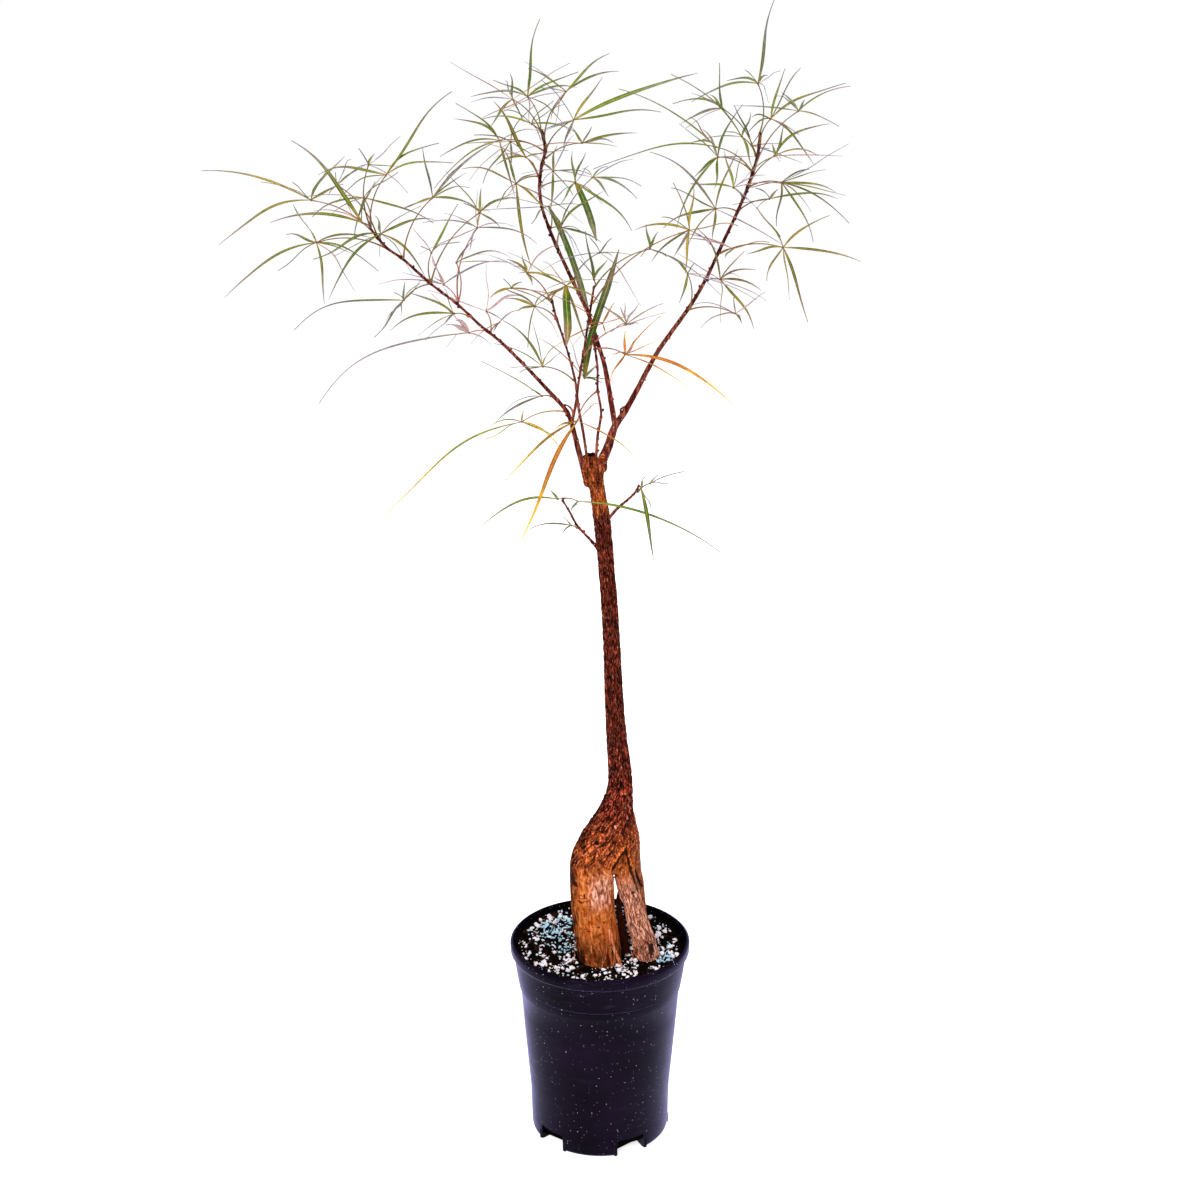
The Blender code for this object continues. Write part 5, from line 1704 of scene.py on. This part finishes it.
def wisp_way(space, hub, reach, draw):
    """The clearest of a few thin drooping ways out of a hub."""
    ways = []
    for _ in range(WISP_TRIES):
        turn, lift = draw.uniform(0, 2 * math.pi), draw.uniform(-0.45, 0.75)
        out = Vector((math.cos(turn), 0.75 * math.sin(turn), lift)).normalized() * reach
        droop = Vector((0, 0, -reach * draw.uniform(0.0, 0.28)))
        sway = Vector((draw.uniform(-1, 1), draw.uniform(-1, 1), 0)) * reach * 0.05
        knots = [hub, hub + out * 0.35 + sway, hub + out * 0.7 + droop * 0.35, hub + out + droop]
        way = smooth_line(knots, steps=4)
        if in_solids_box(way[-1]):
            ways.append(way)
    return clearest(space, ways, lambda space, way: space.room(way[3:], 0.5)) if ways else None


def make_wisps(space, blade, hub, looks, draw):
    """Young thread-like leaflets between the grown ones, in many tints but on yellow and orange leaves."""
    body, tip, _ = SHADES[looks]
    parts = []
    for _ in range(draw.randint(1, WISPS)):
        way = wisp_way(space, hub, draw.uniform(*WISP_REACH), draw)
        if way is None:
            continue
        facing = (draw.uniform(-0.5, 0.5), -0.85, draw.uniform(0.2, 0.8))
        rows = blade_rows(draw.uniform(*WISP_WIDTH))
        wisp = bent(blade, way, rows, [0.7], facing, tip_twist=draw.uniform(-1, 1))
        tint = draw.choice(WISP_TINTS + (body, body))
        finish_blade(wisp, body if looks in ("yellow", "orange") else tint, tip, draw, 0.2)
        parts.append(wisp)
    return parts


def make_stalk(stalk, tint, stick, bud, draw):
    """A leaf's stalk, thicker at both ends, and its hub."""
    line = smooth_line(stalk, steps=3)
    count = len(line)
    rows = [0.62 - 0.25 * k / count + 0.35 * math.exp(-k / 1.2) + 0.25 * math.exp(-(count - 1 - k) / 0.8)
            for k in range(count)]
    ahead = stalk[-1] - stalk[-2]
    parts = [bent(stick, line, rows, rows),
             placed(bud, stalk[-1] - ahead.normalized() * 0.5, (0.95, 0.95, 0.8), ahead)]
    for part in parts:
        paint(part, "blade tint", varied(tint, draw, 0.2))
        wear(part, LEAF_STALK)
    return parts


def leaflet_look(looks, wide, leaf_tint, bright_spray):
    """A leaflet's tint and width as shown, and whether it is one of the full bright ones."""
    bright = bright_spray and wide >= BRIGHT_FROM
    if looks in TWO_TINTS:
        thin_tint, broad_tint, broad_from, broader = TWO_TINTS[looks]
        if wide > broad_from:
            return broad_tint, wide * broader, bright
        return thin_tint, wide * THINNER, bright
    if bright:
        return BRIGHT, wide * BRIGHT_WIDER, True
    return leaf_tint, wide, False


def make_knob(spray, bud):
    """The bud that a spray grows from, seated on its stem."""
    line, _ = stem_line(spray.stem)
    foot = min(line, key=lambda place: (place - spray.bud).length)
    out = (spray.bud - foot).normalized()
    size = [spray.bud_radius * share for share in (0.55, 0.55, 0.75)]
    knob = placed(bud, foot + out * 0.6, size, out)
    paint(knob, "blade tint", BUD_TINT)
    wear(knob, LEAF_STALK)
    return knob


def make_sprays():
    blade = straight_blade("blade", BLADE_ROWS, fold=0.22, thick=0.3)
    stick = straight_stick("stalk stick", sides=7, rings=14)
    bud = bud_model("bud")
    draw = random.Random(SHADE_SEED)
    wisp_draw = random.Random(WISP_SEED)
    space = placed_clearance()
    for spray in SPRAY_LIST:
        key = (spray.stem, spray.height)
        looks = LOOKS_LIKE.get(key, spray.tint)
        body, tip, stalk_tint = SHADES[looks]
        parts = []
        for stalk, leaflets in spray.leaves:
            parts += make_stalk(stalk, stalk_tint, stick, bud, draw)
            leaf_tint = varied(body, draw, 0.15)
            for way, wide, roll in leaflets:
                tint, width, full = leaflet_look(looks, wide, leaf_tint, key in BRIGHT_SPRAYS)
                parts.append(make_leaflet(blade, way, width, roll, tint, tip, full, draw))
            if not spray.stem.startswith("trunk"):
                parts += make_wisps(space, blade, stalk[-1], looks, wisp_draw)
        parts.append(make_knob(spray, bud))
        piece = join(f"{spray.stem}_spray_{spray.number:02d}", parts)
        smooth_shaded(piece, degrees=60)
        finish_piece(piece, f"leaf_{spray.tint}", f"{spray.stem}_leaf_{spray.number:02d}")
    discard(blade, stick, bud)


# Camera, light and floor

def make_world():
    """White where it is seen, and softer as light, so that dark pieces stay dark."""
    world = bpy.data.worlds.new("studio")
    world.use_nodes = True
    nodes = Nodes(world.node_tree)
    light = world.node_tree.nodes["Background"]
    nodes.put(light.inputs["Color"], (0.96, 0.97, 1))
    nodes.put(light.inputs["Strength"], WORLD_LIGHT)
    backdrop = nodes.add("Background", Color=(1, 1, 1))
    nodes.show_to_camera(backdrop.outputs[0], light.outputs[0], world.node_tree.nodes["World Output"])
    bpy.context.scene.world = world


def make_floor():
    """White floor that glows, more where it is seen than as light."""
    place = (0, 0, FLOOR_HEIGHT)
    bpy.ops.mesh.primitive_circle_add(vertices=96, radius=FLOOR_RADIUS, fill_type="NGON", location=place)
    floor = newest("floor")
    settle(floor)
    nodes = Finish("studio white")
    nodes.look(Base_Color=(0.93, 0.93, 0.93), Roughness=1.0, Specular_IOR_Level=0.0,
               Emission_Color=(1, 1, 1), Emission_Strength=FLOOR_GLOW)
    lit = nodes.shader.outputs[0]
    more = nodes.add("Emission", Strength=FLOOR_SEEN_GLOW - FLOOR_GLOW)
    brighter = nodes.add("AddShader", lit, more.outputs[0])
    nodes.show_to_camera(brighter.outputs[0], lit, nodes.tree.nodes["Material Output"])
    wear(floor, nodes.material)


def make_lamps():
    for name, place, size, power in LAMPS:
        light = bpy.data.lights.new(name, "AREA")
        light.size = size
        light.energy = power
        lamp = add_object(name, light)
        lamp.location = place
        lamp.visible_glossy = False
        lamp.rotation_euler = (Vector(LAMP_AIM) - Vector(place)).to_track_quat("-Z", "Y").to_euler()


def make_camera():
    view = bpy.data.cameras.new("photo view")
    view.lens = VIEW_LENS
    view.sensor_width = SENSOR_WIDTH
    camera = add_object("photo view", view)
    camera.location = VIEW_PLACE
    camera.rotation_euler = (math.radians(90 - VIEW_DOWN_DEG), 0, 0)
    bpy.context.scene.camera = camera


make_pot()
make_soil()
make_soil_top()
make_trunk()
make_stems()
make_sprays()
make_floor()
make_world()
make_lamps()
make_camera()
bpy.context.scene.view_settings.view_transform = "Standard"
